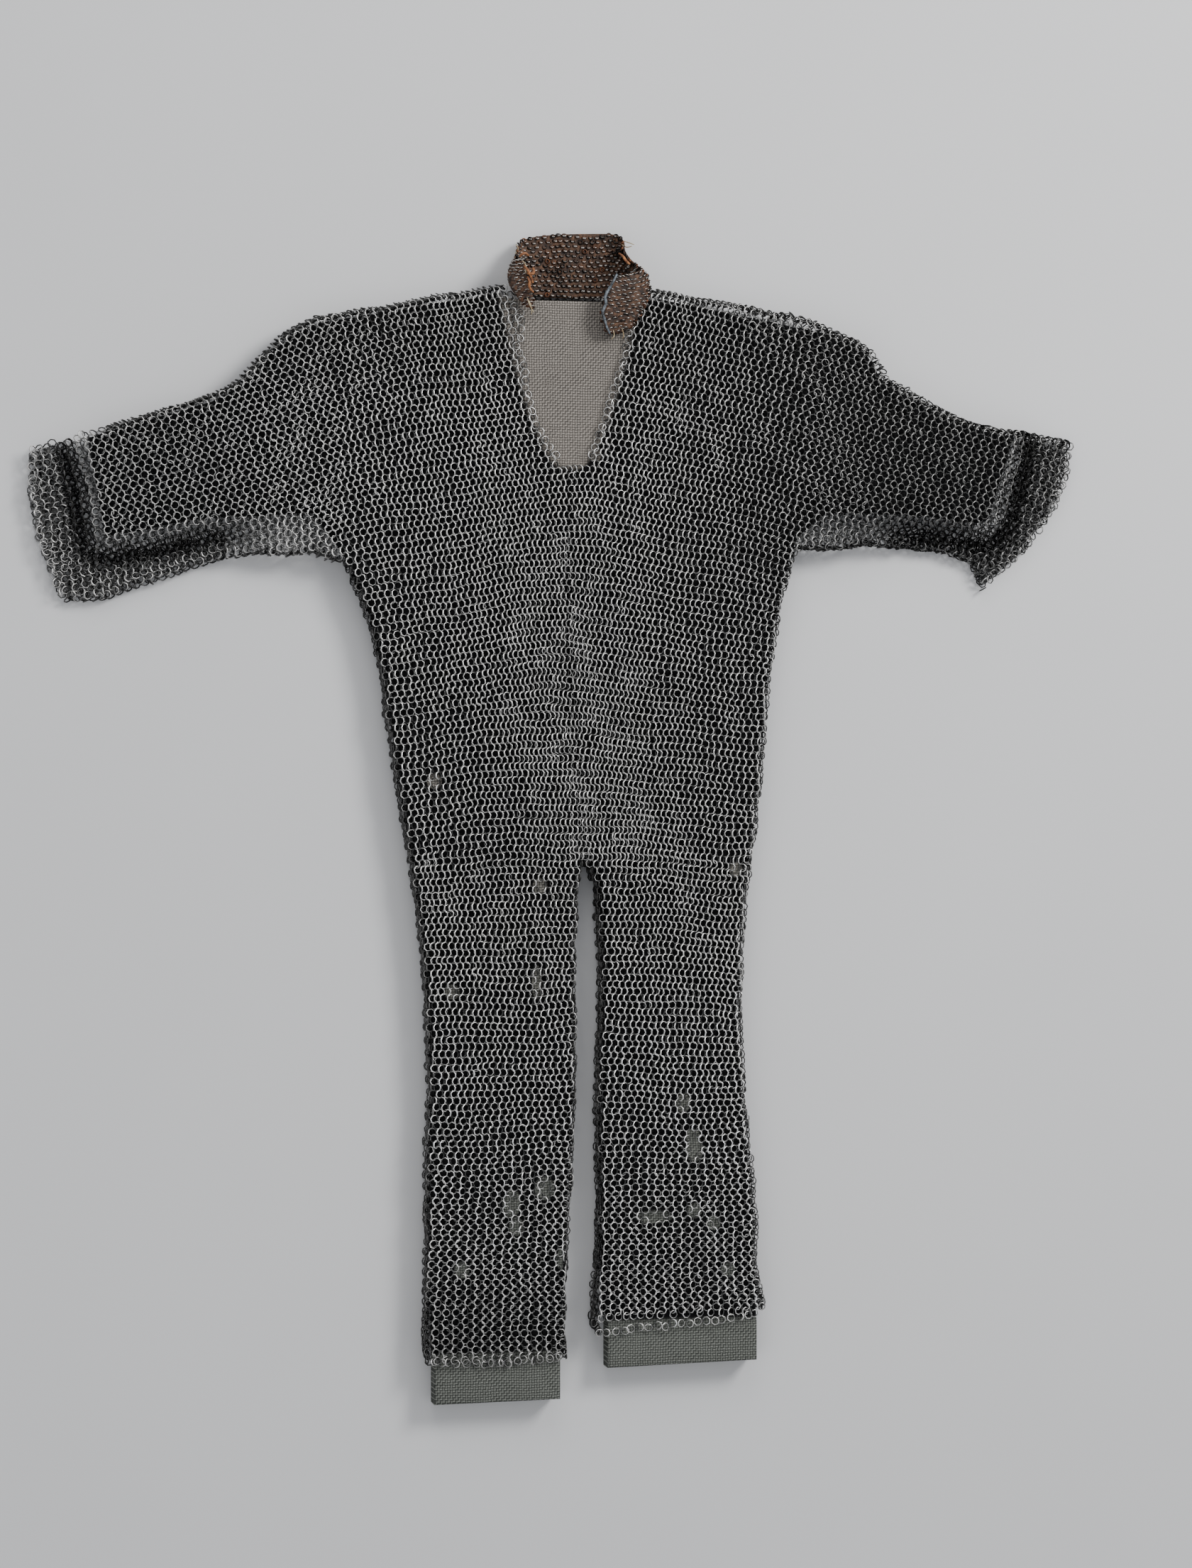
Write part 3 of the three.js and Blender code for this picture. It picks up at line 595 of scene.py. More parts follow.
def read(vector, name):
    """A number that the mesh carries under this name."""
    return vector.node("ShaderNodeAttribute", {"attribute_name": name}, output="Fac")


def feed(shader, **links):
    """Links fields to the shader's sockets, or sets plain values on them."""
    for name, value in links.items():
        socket = shader.inputs[name.replace("_", " ")]
        if isinstance(value, Field):
            value.tree.links.new(value.socket, socket)
        else:
            socket.default_value = value


def relief(vector, height_field, distance, strength=1.0):
    """A Bump node over a height, as a normal."""
    return vector.node("ShaderNodeBump", {}, {"Height": height_field, "Distance": distance,
                                              "Strength": strength})


# %% [markdown]
# ## Steel
#
# The wire is old iron, bright where it stands out and dark where it lies under
# the next ring: partly rubbed wear and tarnish, partly painted highlight and painted shade.
# `lift` says how far a point of the wire stands out of the cloth, `own` is one random
# number for each ring, and `tone` dims each part of the suit: painted shade on the upright
# sides, where the cloth steps down off the board and under the sagging sleeves, and
# elsewhere a change of brightness by place.

# %% The steel of the suit
def steel_material():
    """Dark steel, bright where `lift` is high (wear, painted highlight and shade), dimmed by
    `tone`.
    """
    material, shader, place = new_material("mail_steel")
    lift, own, tone = read(place, "lift"), read(place, "own"), read(place, "tone")
    grain = place.noise(900.0, 3.0)
    patches = place.noise(14.0, 3.0)
    # Wear and painted light: brighter where the wire stands out, darker where it lies under the
    # next ring.
    wear_and_painted_light = (lift + grain * 1.6 - 0.8).between(-1.6, 1.9)
    bright = (own * 0.5 + patches * 0.5).colours((0.58, 0.575, 0.555, 1), (0.95, 0.935, 0.90, 1))
    metal = wear_and_painted_light.node("ShaderNodeMix", {"data_type": "RGBA"},
                        {0: wear_and_painted_light, 6: (0.13, 0.131, 0.13, 1), 7: bright}, output=2)
    toned = metal.node("ShaderNodeVectorMath", {"operation": "SCALE"}, {0: metal, "Scale": tone})
    feed(shader, Base_Color=toned, Metallic=0.92,
         Roughness=(own * 0.16 + grain * 0.2).maths("ADD", 0.2),
         Normal=relief(place, place.noise(1500.0, 2.0), 0.0002, 0.5))
    return material


steel = steel_material()

# %% [markdown]
# ## Laying the suit
#
# Each panel is laid in turn: the two halves of the shirt front, its back, the sleeves and
# the legs. A panel takes every row and column that could reach it, wraps them over its
# edges, and keeps the rings that land on it. A few small places have lost their rings,
# and the linen shows there.

# %% Tone and thin places
THIN = ((-38, -187, 6, 20), (-134, -197, 9, 9), (-29, -418, 12, 14), (-66, -434, 11, 16),
        (-61, -460, 9, 11), (-8, -498, 9, 12), (144, -378, 11, 15), (97, -453, 22, 8),
        (144, -447, 9, 9), (166, -461, 9, 9), (131, -325, 9, 11), (-154, 38, 9, 9),
        (-34, -79, 9, 9), (142, -363, 9, 9), (-123, -507, 9, 10), (183, -515, 9, 9),
        (192, -62, 8, 9), (29, 405, 8, 8))


def tone_at(x, y):
    """How bright the metal is: darker on the left sleeve, the shoulders, the seam, the right
    sleeve's end and the right hem, brighter low on the body, and darkened with painted shade where
    the cloth steps down off the board."""
    left_arm = smooth_step(60, 400, x) * smooth_step(120, 330, y)
    step = np.hypot(look_up(slope_x, x, y), look_up(slope_y, x, y))
    seam = np.exp(-((x - np.interp(y, SEAM_Y, SEAM_X)) / 4) ** 2) * (np.abs(y - 170) < 225)
    # The step term is painted shade: the metal darkens where the cloth slopes steeply.
    return (1.06 - 0.64 * left_arm) * (1 - 0.9 * smooth_step(0.12, 0.7, step)) \
        * (1 - 0.24 * smooth_step(430, 560, y) * (1 - left_arm)) \
        * (1 - 0.2 * smooth_step(-300, -420, x)) * (1 - 0.3 * seam) \
        * (1 + 0.22 * smooth_step(0, -320, y)) \
        * (1 - 0.36 * smooth_step(-480, -600, y) * (x < 18))


def wall_painted_shade(angle):
    """Painted shade: the rings on the upright sides are made nearly black."""
    return 1 - 0.85 * smooth_step(math.radians(15), math.radians(60), np.abs(angle))


def is_thin(x, y):
    """True in the places that have lost their rings."""
    return sum(((x - a) / w * 1.6) ** 2 + ((y - b) / h * 1.6) ** 2 < 1 for a, b, w, h in THIN) > 0


def top_side(x, y):
    """Outward side and row direction of the front layer, from its slopes."""
    sx, sy = look_up(slope_x, x, y), look_up(slope_y, x, y)
    slack = 1 - smooth_step(18, 30, look_up(height, x, y))
    out = unit(np.stack([slack * look_up(rumple_x, x, y) - sx,
                         slack * look_up(rumple_y, x, y) - sy, np.ones_like(x)], 1))
    turn = -row_slope(x, y) * np.sign(x)
    return out, np.stack([np.ones_like(x), turn, sx + turn * sy], 1)


def kept(looks, keep):
    """The looks of the rings that are kept, where a look is given ring by ring."""
    return {name: value[keep] if np.ndim(value) else value for name, value in looks.items()}


def lay_across(places, x, y, rows, low, high, **looks):
    """Rings of rows that turn over a low and a high edge along X."""
    at = np.clip(x, low + CORNER, high - CORNER)
    across, z, angle = wrap(x, low, high, look_up(height, at, y))
    keep = z > 4
    out, along = top_side(at, y)
    tilted = np.stack([np.sin(angle), np.zeros_like(x), np.cos(angle)], 1)
    rolled = np.abs(angle) > 1e-6
    out = np.where(rolled[:, None], tilted, out)
    along = np.where(rolled[:, None],
                     np.stack([np.cos(angle), np.zeros_like(x), -np.sin(angle)], 1), along)
    middle = np.stack([across, y, z], 1)
    keep &= ~(is_thin(x, y) & ~rolled)
    places.add(middle[keep], out[keep], along[keep], rows[keep],
               tone=(tone_at(across, y) * wall_painted_shade(angle))[keep], **kept(looks, keep))


def lay_down(places, x, y, rows, low, high, floor, **looks):
    """Rings of rows that run along an arm, whose cloth turns over edges along Y."""
    at = np.clip(y, low + CORNER, high - CORNER)
    across, z, angle = wrap(y, low, high, look_up(height, x, at))
    keep = z > floor
    out, along = top_side(x, at)
    rolled = np.abs(angle) > 1e-6
    tilted = np.stack([np.zeros_like(x), np.sin(angle), np.cos(angle)], 1)
    out = np.where(rolled[:, None], tilted, out)
    middle = np.stack([x, across, z], 1)
    places.add(middle[keep], out[keep], along[keep], rows[keep],
               tone=(tone_at(x, across) * wall_painted_shade(angle))[keep], **kept(looks, keep))


def rim(places, x, y, lean=0.2):
    """Single rings along an edge, lying open, as edge rings do with nothing beyond them."""
    count = len(x)
    x, y = x + rng.normal(0, 0.7, count), y + rng.normal(0, 0.7, count)
    middle = np.stack([x, y, look_up(height, x, y) + rng.normal(0, 0.4, count)], 1)
    side = unit(np.stack([*rng.normal(0, 0.25, (2, count)), np.ones(count)], 1))
    places.add(middle, side, np.tile((1.0, 0, 0), (count, 1)), np.arange(count),
               lean=lean, tone=tone_at(x, y))


UNDER_Z = 1.9          # height of the middle of the rings that lie under the board
UNDER_GAP = (8.4, 7.6)  # their distance along a row, and from row to row


def lay_under(places, x, y, rows, tone=0.8):
    """Flat rings under the board, facing down and leaning only a little."""
    count = len(x)
    places.add(np.stack([x, y, np.full(count, UNDER_Z)], 1),
               np.tile((0.0, 0, -1), (count, 1)), np.tile((-1.0, 0, 0), (count, 1)), rows,
               lean=math.radians(12), tone=tone, plain=True)


# %% Shirt fronts
ARMHOLE = {-1: -258.0, 1: 268.0}
ARMPIT = {-1: 281.0, 1: 303.0}


def shirt_front(side):
    """Rings of one half of the front: yoke, body, side wall and shoulder edge."""
    rows, columns = lattice(all_rows(-80, 660), np.arange(-50, 51))
    x, y = upper_places(rows, columns)
    seam = np.interp(y, SEAM_Y, SEAM_X)
    mine = side * (x - seam) > 0.2 if side > 0 else side * (x - seam) >= -0.2
    v_edge = np.where(y > neck[side][0][0] - 6,
                      np.interp(y, *neck[side]), seam - side * 99)
    mine &= side * (x - v_edge) > 3.6
    places = Places()
    body = mine & (y < ARMPIT[side]) & (y > -53)
    low, high = (np.interp(y, body_y, body_edge[s]) for s in (-1, 1))
    body &= (x > low - 36) & (x < high + 36)
    lay_across(places, x[body], y[body], rows[body], low[body], high[body])
    yoke = mine & (y >= ARMPIT[side]) & (side * x < side * ARMHOLE[side])
    top = np.interp(x, shoulder_x, shoulder_edge)
    yoke &= y < top + 34
    lay_down(places, x[yoke], y[yoke], rows[yoke], np.full(yoke.sum(), -900.0), top[yoke], 4)
    edge_y = np.arange(neck[side][0][0] + 4, 584, 8.2)
    rim(places, np.interp(edge_y, *neck[side]) + side * 2.4, edge_y)
    return places


front_right = ring_mesh("mail_front_right", shirt_front(-1), steel)
front_left = ring_mesh("mail_front_left", shirt_front(1), steel)

# %% Sleeves
def sleeve(arm):
    """Rings all round one sleeve: its face, its turned edges and its underside."""
    reach = np.arange(24, 80) if arm > 0 else np.arange(-80, -23)
    rows, columns = lattice(all_rows(60, 860), reach)
    x, y = upper_places(rows, columns)
    low, high = (np.interp(x, sleeve_x[arm], sleeve_edge[arm, s]) for s in (-1, 1))
    cuff = np.interp(y, cuff_y, cuff_edge[arm])
    mine = (arm * x > arm * ARMHOLE[arm]) & (arm * x < arm * cuff - 3.5)
    places = Places()
    face = mine & (y > low - 30) & (y < high + 34)
    lay_down(places, x[face], y[face], rows[face], low[face], high[face], 4,
             lean=math.radians(24))
    under = mine & (y > low + 4) & (y < high - 4)
    lay_under(places, x[under], y[under], rows[under], tone_at(x, y)[under])
    end_y = np.arange(cuff_y[0] + 6, 418, 8.6)
    end_x = np.interp(end_y, cuff_y, cuff_edge[arm]) - arm * 5
    inside = (end_y > np.interp(end_x, sleeve_x[arm], sleeve_edge[arm, -1])) \
        & (end_y < np.interp(end_x, sleeve_x[arm], sleeve_edge[arm, 1]))
    rim(places, end_x[inside], end_y[inside], 0.5)
    r, c = lattice(np.arange(36, 77), np.arange(60, 94))
    x, y = arm * c * 6.4, r * 5.8
    low, high = (np.interp(x, sleeve_x[arm], sleeve_edge[arm, s]) for s in (-1, 1))
    slack = (arm * x < arm * np.interp(y, cuff_y, cuff_edge[arm]) - 4) & (y > low + 4)
    slack &= (y < high - 5) & (look_up(height, x, y) < 27)
    count = int(slack.sum())
    middle = np.stack([x[slack], y[slack], 5.0 + 1.2 * rng.random(count)], 1)
    side = unit(np.stack([*rng.normal(0, 0.35, (2, count)), np.ones(count)], 1))
    # Painted shade: these slack rings where the sleeve sags off the board are dimmed to 0.28 of
    # their tone.
    places.add(middle, side, np.tile((1.0, 0, 0), (count, 1)), r[slack],
               lean=math.radians(30), tone=0.28 * tone_at(x, y)[slack], plain=True)
    return places


sleeve_right = ring_mesh("mail_sleeve_right", sleeve(-1), steel)
sleeve_left = ring_mesh("mail_sleeve_left", sleeve(1), steel)


# %% Legs
def hem(leg, x):
    """Height of the lower edge of a leg at x."""
    return -611 - 4 * np.sin((x + 163) / 160 * math.pi) if leg < 0 else -584 + 0.075 * (x - 32)


def leg_tube(leg):
    """Rings of the face and the two walls of one leg."""
    rows, columns = lattice(all_rows(-640, -30), np.arange(-60, 61))
    x, y = leg_places(rows, columns, leg)
    low, high = (np.interp(y, leg_y, leg_edge[leg, s]) for s in (-1, 1))
    places = Places()
    face = (x > low - 36) & (x < high + 36) & (y < -53) & (y > hem(leg, x) + 3.5)
    lean = math.radians(33) - math.radians(9) * smooth_step(-250, -500, y)
    lay_across(places, x[face], y[face], rows[face], low[face], high[face], lean=lean[face])
    edge_x = np.arange({-1: -156, 1: 34}[leg], {-1: -8, 1: 218}[leg], 9.4)
    rim(places, edge_x, hem(leg, edge_x) + 3.5, 0.35)
    return places


def leg_underside(places, leg, bottom, top):
    """Flat rings under one leg, between its two edges."""
    gap_x, gap_y = UNDER_GAP
    r, c = lattice(np.arange(int(bottom / gap_y), int(top / gap_y) + 1),
                   np.arange(-80, 81))
    x, y = c * gap_x, r * gap_y
    low, high = (np.interp(y, leg_y, leg_edge[leg, s]) for s in (-1, 1))
    keep = (x > low + 5) & (x < high - 5) & (y > bottom) & (y < top)
    lay_under(places, x[keep], y[keep], r[keep])


legs = {}
for leg, name, bottom in ((-1, "mail_leg_right", -609), (1, "mail_leg_left", -580)):
    places = leg_tube(leg)
    leg_underside(places, leg, bottom, -52)
    legs[leg] = ring_mesh(name, places, steel)


# %% Shirt back
def shirt_back():
    """One flat layer under the board, from crotch to shoulders."""
    places = Places()
    r, c = lattice(np.arange(-8, 80), np.arange(-40, 41))
    x, y = c * UNDER_GAP[0], r * UNDER_GAP[1]
    low, high = (np.where(y < ARMPIT[s], np.interp(y, body_y, body_edge[s]), ARMHOLE[s])
                 for s in (-1, 1))
    top = np.interp(x, shoulder_x, shoulder_edge)
    keep = (x > low + 5) & (x < high - 5) & (y > -49) & (y < top - 4)
    lay_under(places, x[keep], y[keep], r[keep])
    return places


back = ring_mesh("mail_back", shirt_back(), steel)

# %% [markdown]
# ## The board and its linen
#
# The board is flat and padded. Its linen shows in the neck, below the hems and through
# the thin places. A plain weave is two sets of threads that pass over and under each
# other: a thread's height is a sine across it, and its turn to be on top is a sine along
# it. Under the mail the linen is painted nearly black, as painted shade.

# %% Linen
THREAD = 0.0029        # distance between threads, in metres


def linen_material():
    """Plain weave, pale where it is open to the light and painted nearly black under the mail as
    shade.
    """
    material, shader, place = new_material("linen")
    parts = place.node("ShaderNodeSeparateXYZ", {}, {0: place})
    x, y = parts, Field(parts.tree, parts.socket.node.outputs[1])
    bend = place.noise(30.0, 2.0) * 0.004
    turn = 2 * math.pi / THREAD
    weft = ((y + bend) * turn).maths("SINE") * 0.5 + 0.5
    warp = ((x + bend) * turn).maths("SINE") * 0.5 + 0.5
    swap = ((x * (turn / 2)).maths("SINE") * (y * (turn / 2)).maths("SINE")).between(-0.2, 0.2)
    cloth = (weft * swap).maths("MAXIMUM", warp * (1 - swap) * 0.8)
    slub = place.noise(160.0, 3.0)
    faded = place.noise(7.0, 2.0)
    neck_width = (y - 0.385).maths("MAXIMUM", 0.0).maths("POWER", 0.5) * 0.18 + 0.001
    uncovered = (x.maths("ABSOLUTE") - neck_width).between(0.004, -0.004) * y.between(0.385, 0.395)
    ends = y.between(-0.598, -0.604) + (x.between(0.02, 0.03) * y.between(-0.566, -0.572))
    uncovered = uncovered.maths("MAXIMUM", ends.maths("MINIMUM", 1.0))
    for a, b, w, h in THIN:
        near = ((x - a * MM) * (1 / (w * MM))).maths("POWER", 2.0) \
            + ((y - b * MM) * (1 / (h * MM))).maths("POWER", 2.0)
        uncovered = uncovered.maths("MAXIMUM", near.between(1.1, 0.6))
    low = y.between(-0.5, 0.3)
    dark = low.colours((0.040, 0.043, 0.038, 1), (0.070, 0.063, 0.056, 1))
    light = low.colours((0.27, 0.28, 0.25, 1), (0.43, 0.39, 0.345, 1))
    # The colour follows the weave's height, so the hollows between threads are painted shade; slub
    # and faded are the linen's own uneven colour.
    thread = (cloth * 0.85 + slub * 0.3 + faded * 0.2 - 0.2).colours(dark, light)
    # Painted shade: everywhere under the mail the linen is near black.
    shown = uncovered.node("ShaderNodeMix", {"data_type": "RGBA"},
                       {0: uncovered, 6: (0.006, 0.006, 0.0065, 1), 7: thread}, output=2)
    feed(shader, Base_Color=shown, Roughness=0.95,
         Normal=relief(place, cloth, 0.0009, 0.9))
    shader.inputs["Specular IOR Level"].default_value = 0.15
    return material


linen = linen_material()


def padded_board():
    """The board's solid, cut into a 30 mm net and pressed into faint hollows."""
    mesh = bmesh.new()
    mesh.from_mesh(nodes["display_board"].data)
    bmesh.ops.remove_doubles(mesh, verts=mesh.verts, dist=1e-5)
    for axis in (0, 1):
        reach = 0.60 if axis == 0 else 0.66
        for at in np.arange(-reach, reach, 0.03):
            middle, normal = [0, 0, 0], [0, 0, 0]
            middle[axis], normal[axis] = at, 1
            bmesh.ops.bisect_plane(mesh, geom=mesh.verts[:] + mesh.edges[:] + mesh.faces[:],
                                   plane_co=middle, plane_no=normal, dist=1e-6)
    bmesh.ops.triangulate(mesh, faces=mesh.faces)
    data = bpy.data.meshes.new("linen_board")
    mesh.to_mesh(data)
    mesh.free()
    points = np.zeros(len(data.vertices) * 3, np.float32)
    data.vertices.foreach_get("co", points)
    points = points.reshape(-1, 3)
    top = smooth_step(0.0300, 0.0322, points[:, 2])
    points[:, 2] -= top * 0.0005 * (1 + np.sin(points[:, 0] * 61 + 1) * np.sin(points[:, 1] * 47))
    data.vertices.foreach_set("co", points.ravel())
    data.polygons.foreach_set("use_smooth", np.ones(len(data.polygons), bool))
    data.materials.append(linen)
    board = bpy.data.objects.new("linen_board", data)
    bpy.context.scene.collection.objects.link(board)
    print("linen_board", len(data.polygons), "triangles")
    return board


board = padded_board()

# %% [markdown]
# ## The collar
#
# The collar is other work. Its rings are small and thick and stand nearly on edge, so
# that each one shows as a short dark bar, and old leather is laced between the rows. It
# stands up behind the neck, and both ends roll over and fall open on the shoulders. The
# cloth is one strip. Its lower edge, middle and upper edge are three smooth lines, and
# everything on it is placed by how far along and how far up the strip it is.

# %% The collar's strip
COLLAR_STEPS = np.array([
    ((-46, 566, 46), (-46, 594, 50), (-57, 621, 50)),
    ((-50, 567, 45.5), (-54, 594, 50), (-61, 620, 49.5)),
    ((-57, 571, 44), (-67, 595, 48), (-66, 619, 47)),
    ((-62, 577, 40), (-74, 598, 41), (-67, 619, 41)),
    ((-60, 583, 32), (-69, 605, 32), (-62, 629, 32)),
    ((-54, 585, 22), (-60, 611, 22), (-58, 639, 22)),
    ((-47, 584, 13), (-51, 615, 13), (-52, 645, 13)),
    ((-37, 583, 9), (-40, 617, 9.5), (-42, 650, 10)),
    ((-16, 582, 8.6), (-17, 619, 8.8), (-17, 654, 9)),
    ((8, 582, 8.6), (10, 620, 8.8), (12, 656, 9)),
    ((34, 583, 9), (37, 620, 9.5), (40, 657, 10)),
    ((46, 585, 13), (50, 620, 13), (55, 656, 13)),
    ((53, 586, 21), (60, 616, 21), (65, 649, 21)),
    ((58, 587, 30), (67, 611, 30), (65, 638, 30)),
    ((66, 583, 39), (78, 604, 38), (68, 627, 38)),
    ((77, 567, 44), (90, 592, 44), (78, 617, 44)),
    ((73, 553, 46.5), (86, 583, 49.5), (76, 612, 49)),
    ((64, 545, 47), (69, 577, 51.5), (66, 608, 51.5)),
    ((52, 540, 47.5), (49, 573, 51.5), (56, 605, 51.5)),
    ((41, 539, 48), (33, 568, 51), (48, 603, 51))])
COLLAR_THICK = 4
COLLAR_ROWS = 13


def smooth_line(stations, t):
    """Catmull-Rom line through stations at whole values of t."""
    last = len(stations) - 1
    i = np.clip(t.astype(int), 0, last - 1)
    f = (t - i).reshape((-1,) + (1,) * (stations.ndim - 1))
    a, b, c, d = (stations[np.clip(i + k, 0, last)] for k in (-1, 0, 1, 2))
    return 0.5 * (2 * b + (c - a) * f + (2 * a - 5 * b + 4 * c - d) * f ** 2
                  + (3 * b - a - 3 * c + d) * f ** 3)


def collar_face(along, up):
    """Points of the strip's outer face. `along` and `up` run from 0 to 1."""
    rails = smooth_line(COLLAR_STEPS, along * (len(COLLAR_STEPS) - 1))
    u = up[:, None]
    return ((1 - u) * (1 - 2 * u) * rails[:, 0] + 4 * u * (1 - u) * rails[:, 1]
            + u * (2 * u - 1) * rails[:, 2])


def collar_spot(along, up):
    """Middle of the strip's thickness, its normal, and its directions along and up."""
    e = 2e-3
    ahead, behind = np.clip(along + e, 0, 1), np.clip(along - e, 0, 1)
    forward = unit(collar_face(ahead, up) - collar_face(behind, up))
    upward = unit(collar_face(along, up + e) - collar_face(along, up - e))
    normal = unit(np.cross(forward, upward))
    return collar_face(along, up) + normal * COLLAR_THICK / 2, normal, forward, upward


fine = np.linspace(0, 1, 400)
strip_line = collar_face(fine, np.full(400, 0.5))
steps_along = np.linalg.norm(np.diff(strip_line, axis=0), axis=1)
strip_run = np.concatenate([[0], np.cumsum(steps_along)])
print("collar strip is", strip_run[-1].round(), "mm long")

# %% The collar's steel and leather
def collar_steel_material():
    """Rust-brown wire with a painted glint, partly wear, only where a ring stands out furthest
    from the strip.
    """
    material, shader, place = new_material("collar_steel")
    lift, own = read(place, "lift"), read(place, "own")
    grain = place.noise(700.0, 3.0)
    # Painted glint and wear: pale steel only at the furthest reach of a ring's lift.
    wear_and_painted_light = (lift.maths("ABSOLUTE") + grain * 2.4 + own * 0.8).between(3.0, 4.6)
    rust = (own * 0.6 + place.noise(60.0, 2.0) * 0.6).between(0.5, 0.85)
    body = rust.colours((0.024, 0.020, 0.018, 1), (0.16, 0.065, 0.032, 1))
    metal = body.node("ShaderNodeMix", {"data_type": "RGBA"},
                      {0: wear_and_painted_light, 6: body, 7: (0.42, 0.40, 0.37, 1)}, output=2)
    feed(shader, Base_Color=metal, Metallic=0.85,
         Roughness=(own * 0.14 + grain * 0.2).maths("ADD", 0.16),
         Normal=relief(place, place.noise(1200.0, 2.0), 0.0003, 0.6))
    return material


def leather_material(name, dark, light, gloss):
    """Old leather: two browns mixed in streaks, with a cracked face."""
    material, shader, place = new_material(name)
    streak = place.noise(190.0, 4.0)
    crack = place.noise(900.0, 3.0)
    worn = (streak * 1.2 + crack * 0.5 - 0.45).between(0.15, 0.8)
    feed(shader, Base_Color=worn.colours(dark, light),
         Roughness=(crack * 0.3).maths("ADD", 0.75 - gloss),
         Normal=relief(place, crack + streak * 2.0, 0.0006, 0.8))
    return material


collar_steel = collar_steel_material()
lace_leather = leather_material("lacing_leather", (0.018, 0.010, 0.007, 1),
                                (0.17, 0.085, 0.045, 1), 0.15)
knot_leather = leather_material("knot_leather", (0.10, 0.03, 0.010, 1),
                                (0.55, 0.22, 0.07, 1), 0.3)
edge_leather = leather_material("edge_leather", (0.012, 0.014, 0.017, 1),
                                (0.22, 0.26, 0.30, 1), 0.5)
straw = leather_material("straw", (0.28, 0.20, 0.11, 1), (0.66, 0.56, 0.36, 1), 0.1)

# %% The collar's rings and lacing
def collar_rings():
    """Rows of small rings on edge along the strip, every other row half a ring on."""
    count = int(strip_run[-1] / 7.0)
    row, k = np.meshgrid(np.arange(COLLAR_ROWS), np.arange(count), indexing="ij")
    row, k = row.ravel(), k.ravel()
    run = (k + 0.3 + 0.45 * (row % 2)) * strip_run[-1] / count
    along = np.interp(run, strip_run, fine)
    middle, normal, forward, upward = collar_spot(along, (row + 0.5) / COLLAR_ROWS)
    places = Places()
    flat = np.zeros(len(row), int)
    places.add(middle, normal, upward, flat, lean=math.radians(54))
    return ring_mesh("collar_mail", places, collar_steel, wire=1.2, radius=2.45, wobble=1.2)


def shell(name, middle, normal, thickness, material):
    """A closed thin sheet over a grid of points: two faces and four rims.

    `middle` and `normal` are rows by columns by 3, with the normal to the left of a
    walk along the rows and then the columns.
    """
    rows, columns = middle.shape[:2]
    points = np.concatenate([(middle + normal * thickness / 2).reshape(-1, 3),
                             (middle - normal * thickness / 2).reshape(-1, 3)])
    i, j = np.meshgrid(np.arange(rows - 1), np.arange(columns - 1), indexing="ij")
    a = (i * columns + j).ravel()
    b, c, d = a + columns, a + columns + 1, a + 1
    under = rows * columns
    top = np.stack([a, b, c, d], 1)
    bottom = np.stack([d, c, b, a], 1) + under
    edge = np.concatenate([np.arange(columns), np.arange(1, rows) * columns + columns - 1,
                           (rows - 1) * columns + np.arange(columns - 2, -1, -1),
                           np.arange(rows - 2, 0, -1) * columns])
    after = np.roll(edge, -1)
    rim_faces = np.stack([edge, after, after + under, edge + under], 1)
    return piece_from(name, points, np.concatenate([top, bottom, rim_faces]), material)


def lacing_and_shade_sheet():
    """A dark leather sheet through the middle of the strip, ridged between the ring rows: the
    lacing, and a whole backing whose dark fills the gaps between rings as painted shade.
    """
    along, up = np.meshgrid(np.linspace(0.004, 0.996, 60), np.linspace(0.01, 0.99, 40),
                            indexing="ij")
    middle, normal, _, _ = collar_spot(along.ravel(), up.ravel())
    ridge = 0.7 * np.cos(2 * math.pi * COLLAR_ROWS * up.ravel())[:, None]
    weave = 0.35 * np.sin(along.ravel() * strip_run[-1] / 6.5 * 2 * math.pi)[:, None]
    middle = middle + normal * weave
    thick = (1.3 + ridge).reshape(along.shape + (1,))
    return shell("collar_lacing_and_shade", middle.reshape(along.shape + (3,)),
                 normal.reshape(along.shape + (3,)), thick, lace_leather)


def thongs(name, paths, width, thick, material, steps=12, sides=6):
    """Short flat thongs in one mesh, each along a smooth line through a few points.

    The section is an oval of width by thick, narrowed to a blunt point at both ends,
    and it lies flat: its short side is as near to upright as the line lets it be.
    """
    points, faces = [], []
    for path in paths:
        path = np.array(path, float)
        t = np.linspace(0, len(path) - 1, steps)
        line = smooth_line(path, t)
        forward = unit(np.gradient(line, axis=0))
        wide = unit(np.cross(forward, np.tile((0.1, 0.2, 1.0), (steps, 1))))
        tall = np.cross(wide, forward)
        taper = np.sin(np.linspace(0.12, 0.88, steps) * math.pi)[:, None, None] ** 0.5
        a = np.arange(sides) * 2 * math.pi / sides
        oval = wide[:, None] * (np.cos(a) * width / 2)[None, :, None] \
            + tall[:, None] * (np.sin(a) * thick / 2)[None, :, None]
        start = sum(len(p) for p in points)
        points.append((line[:, None] + oval * taper).reshape(-1, 3))
        for i in range(steps - 1):
            for j in range(sides):
                k = (j + 1) % sides
                faces.append([start + i * sides + j, start + i * sides + k,
                              start + (i + 1) * sides + k, start + (i + 1) * sides + j])
        faces.append([start + j for j in range(sides)][::-1])
        faces.append([start + (steps - 1) * sides + j for j in range(sides)])
    piece = piece_from(name, np.concatenate(points), faces, material)
    mesh = bmesh.new()
    mesh.from_mesh(piece.data)
    bmesh.ops.recalc_face_normals(mesh, faces=mesh.faces)
    mesh.to_mesh(piece.data)
    mesh.free()
    return piece


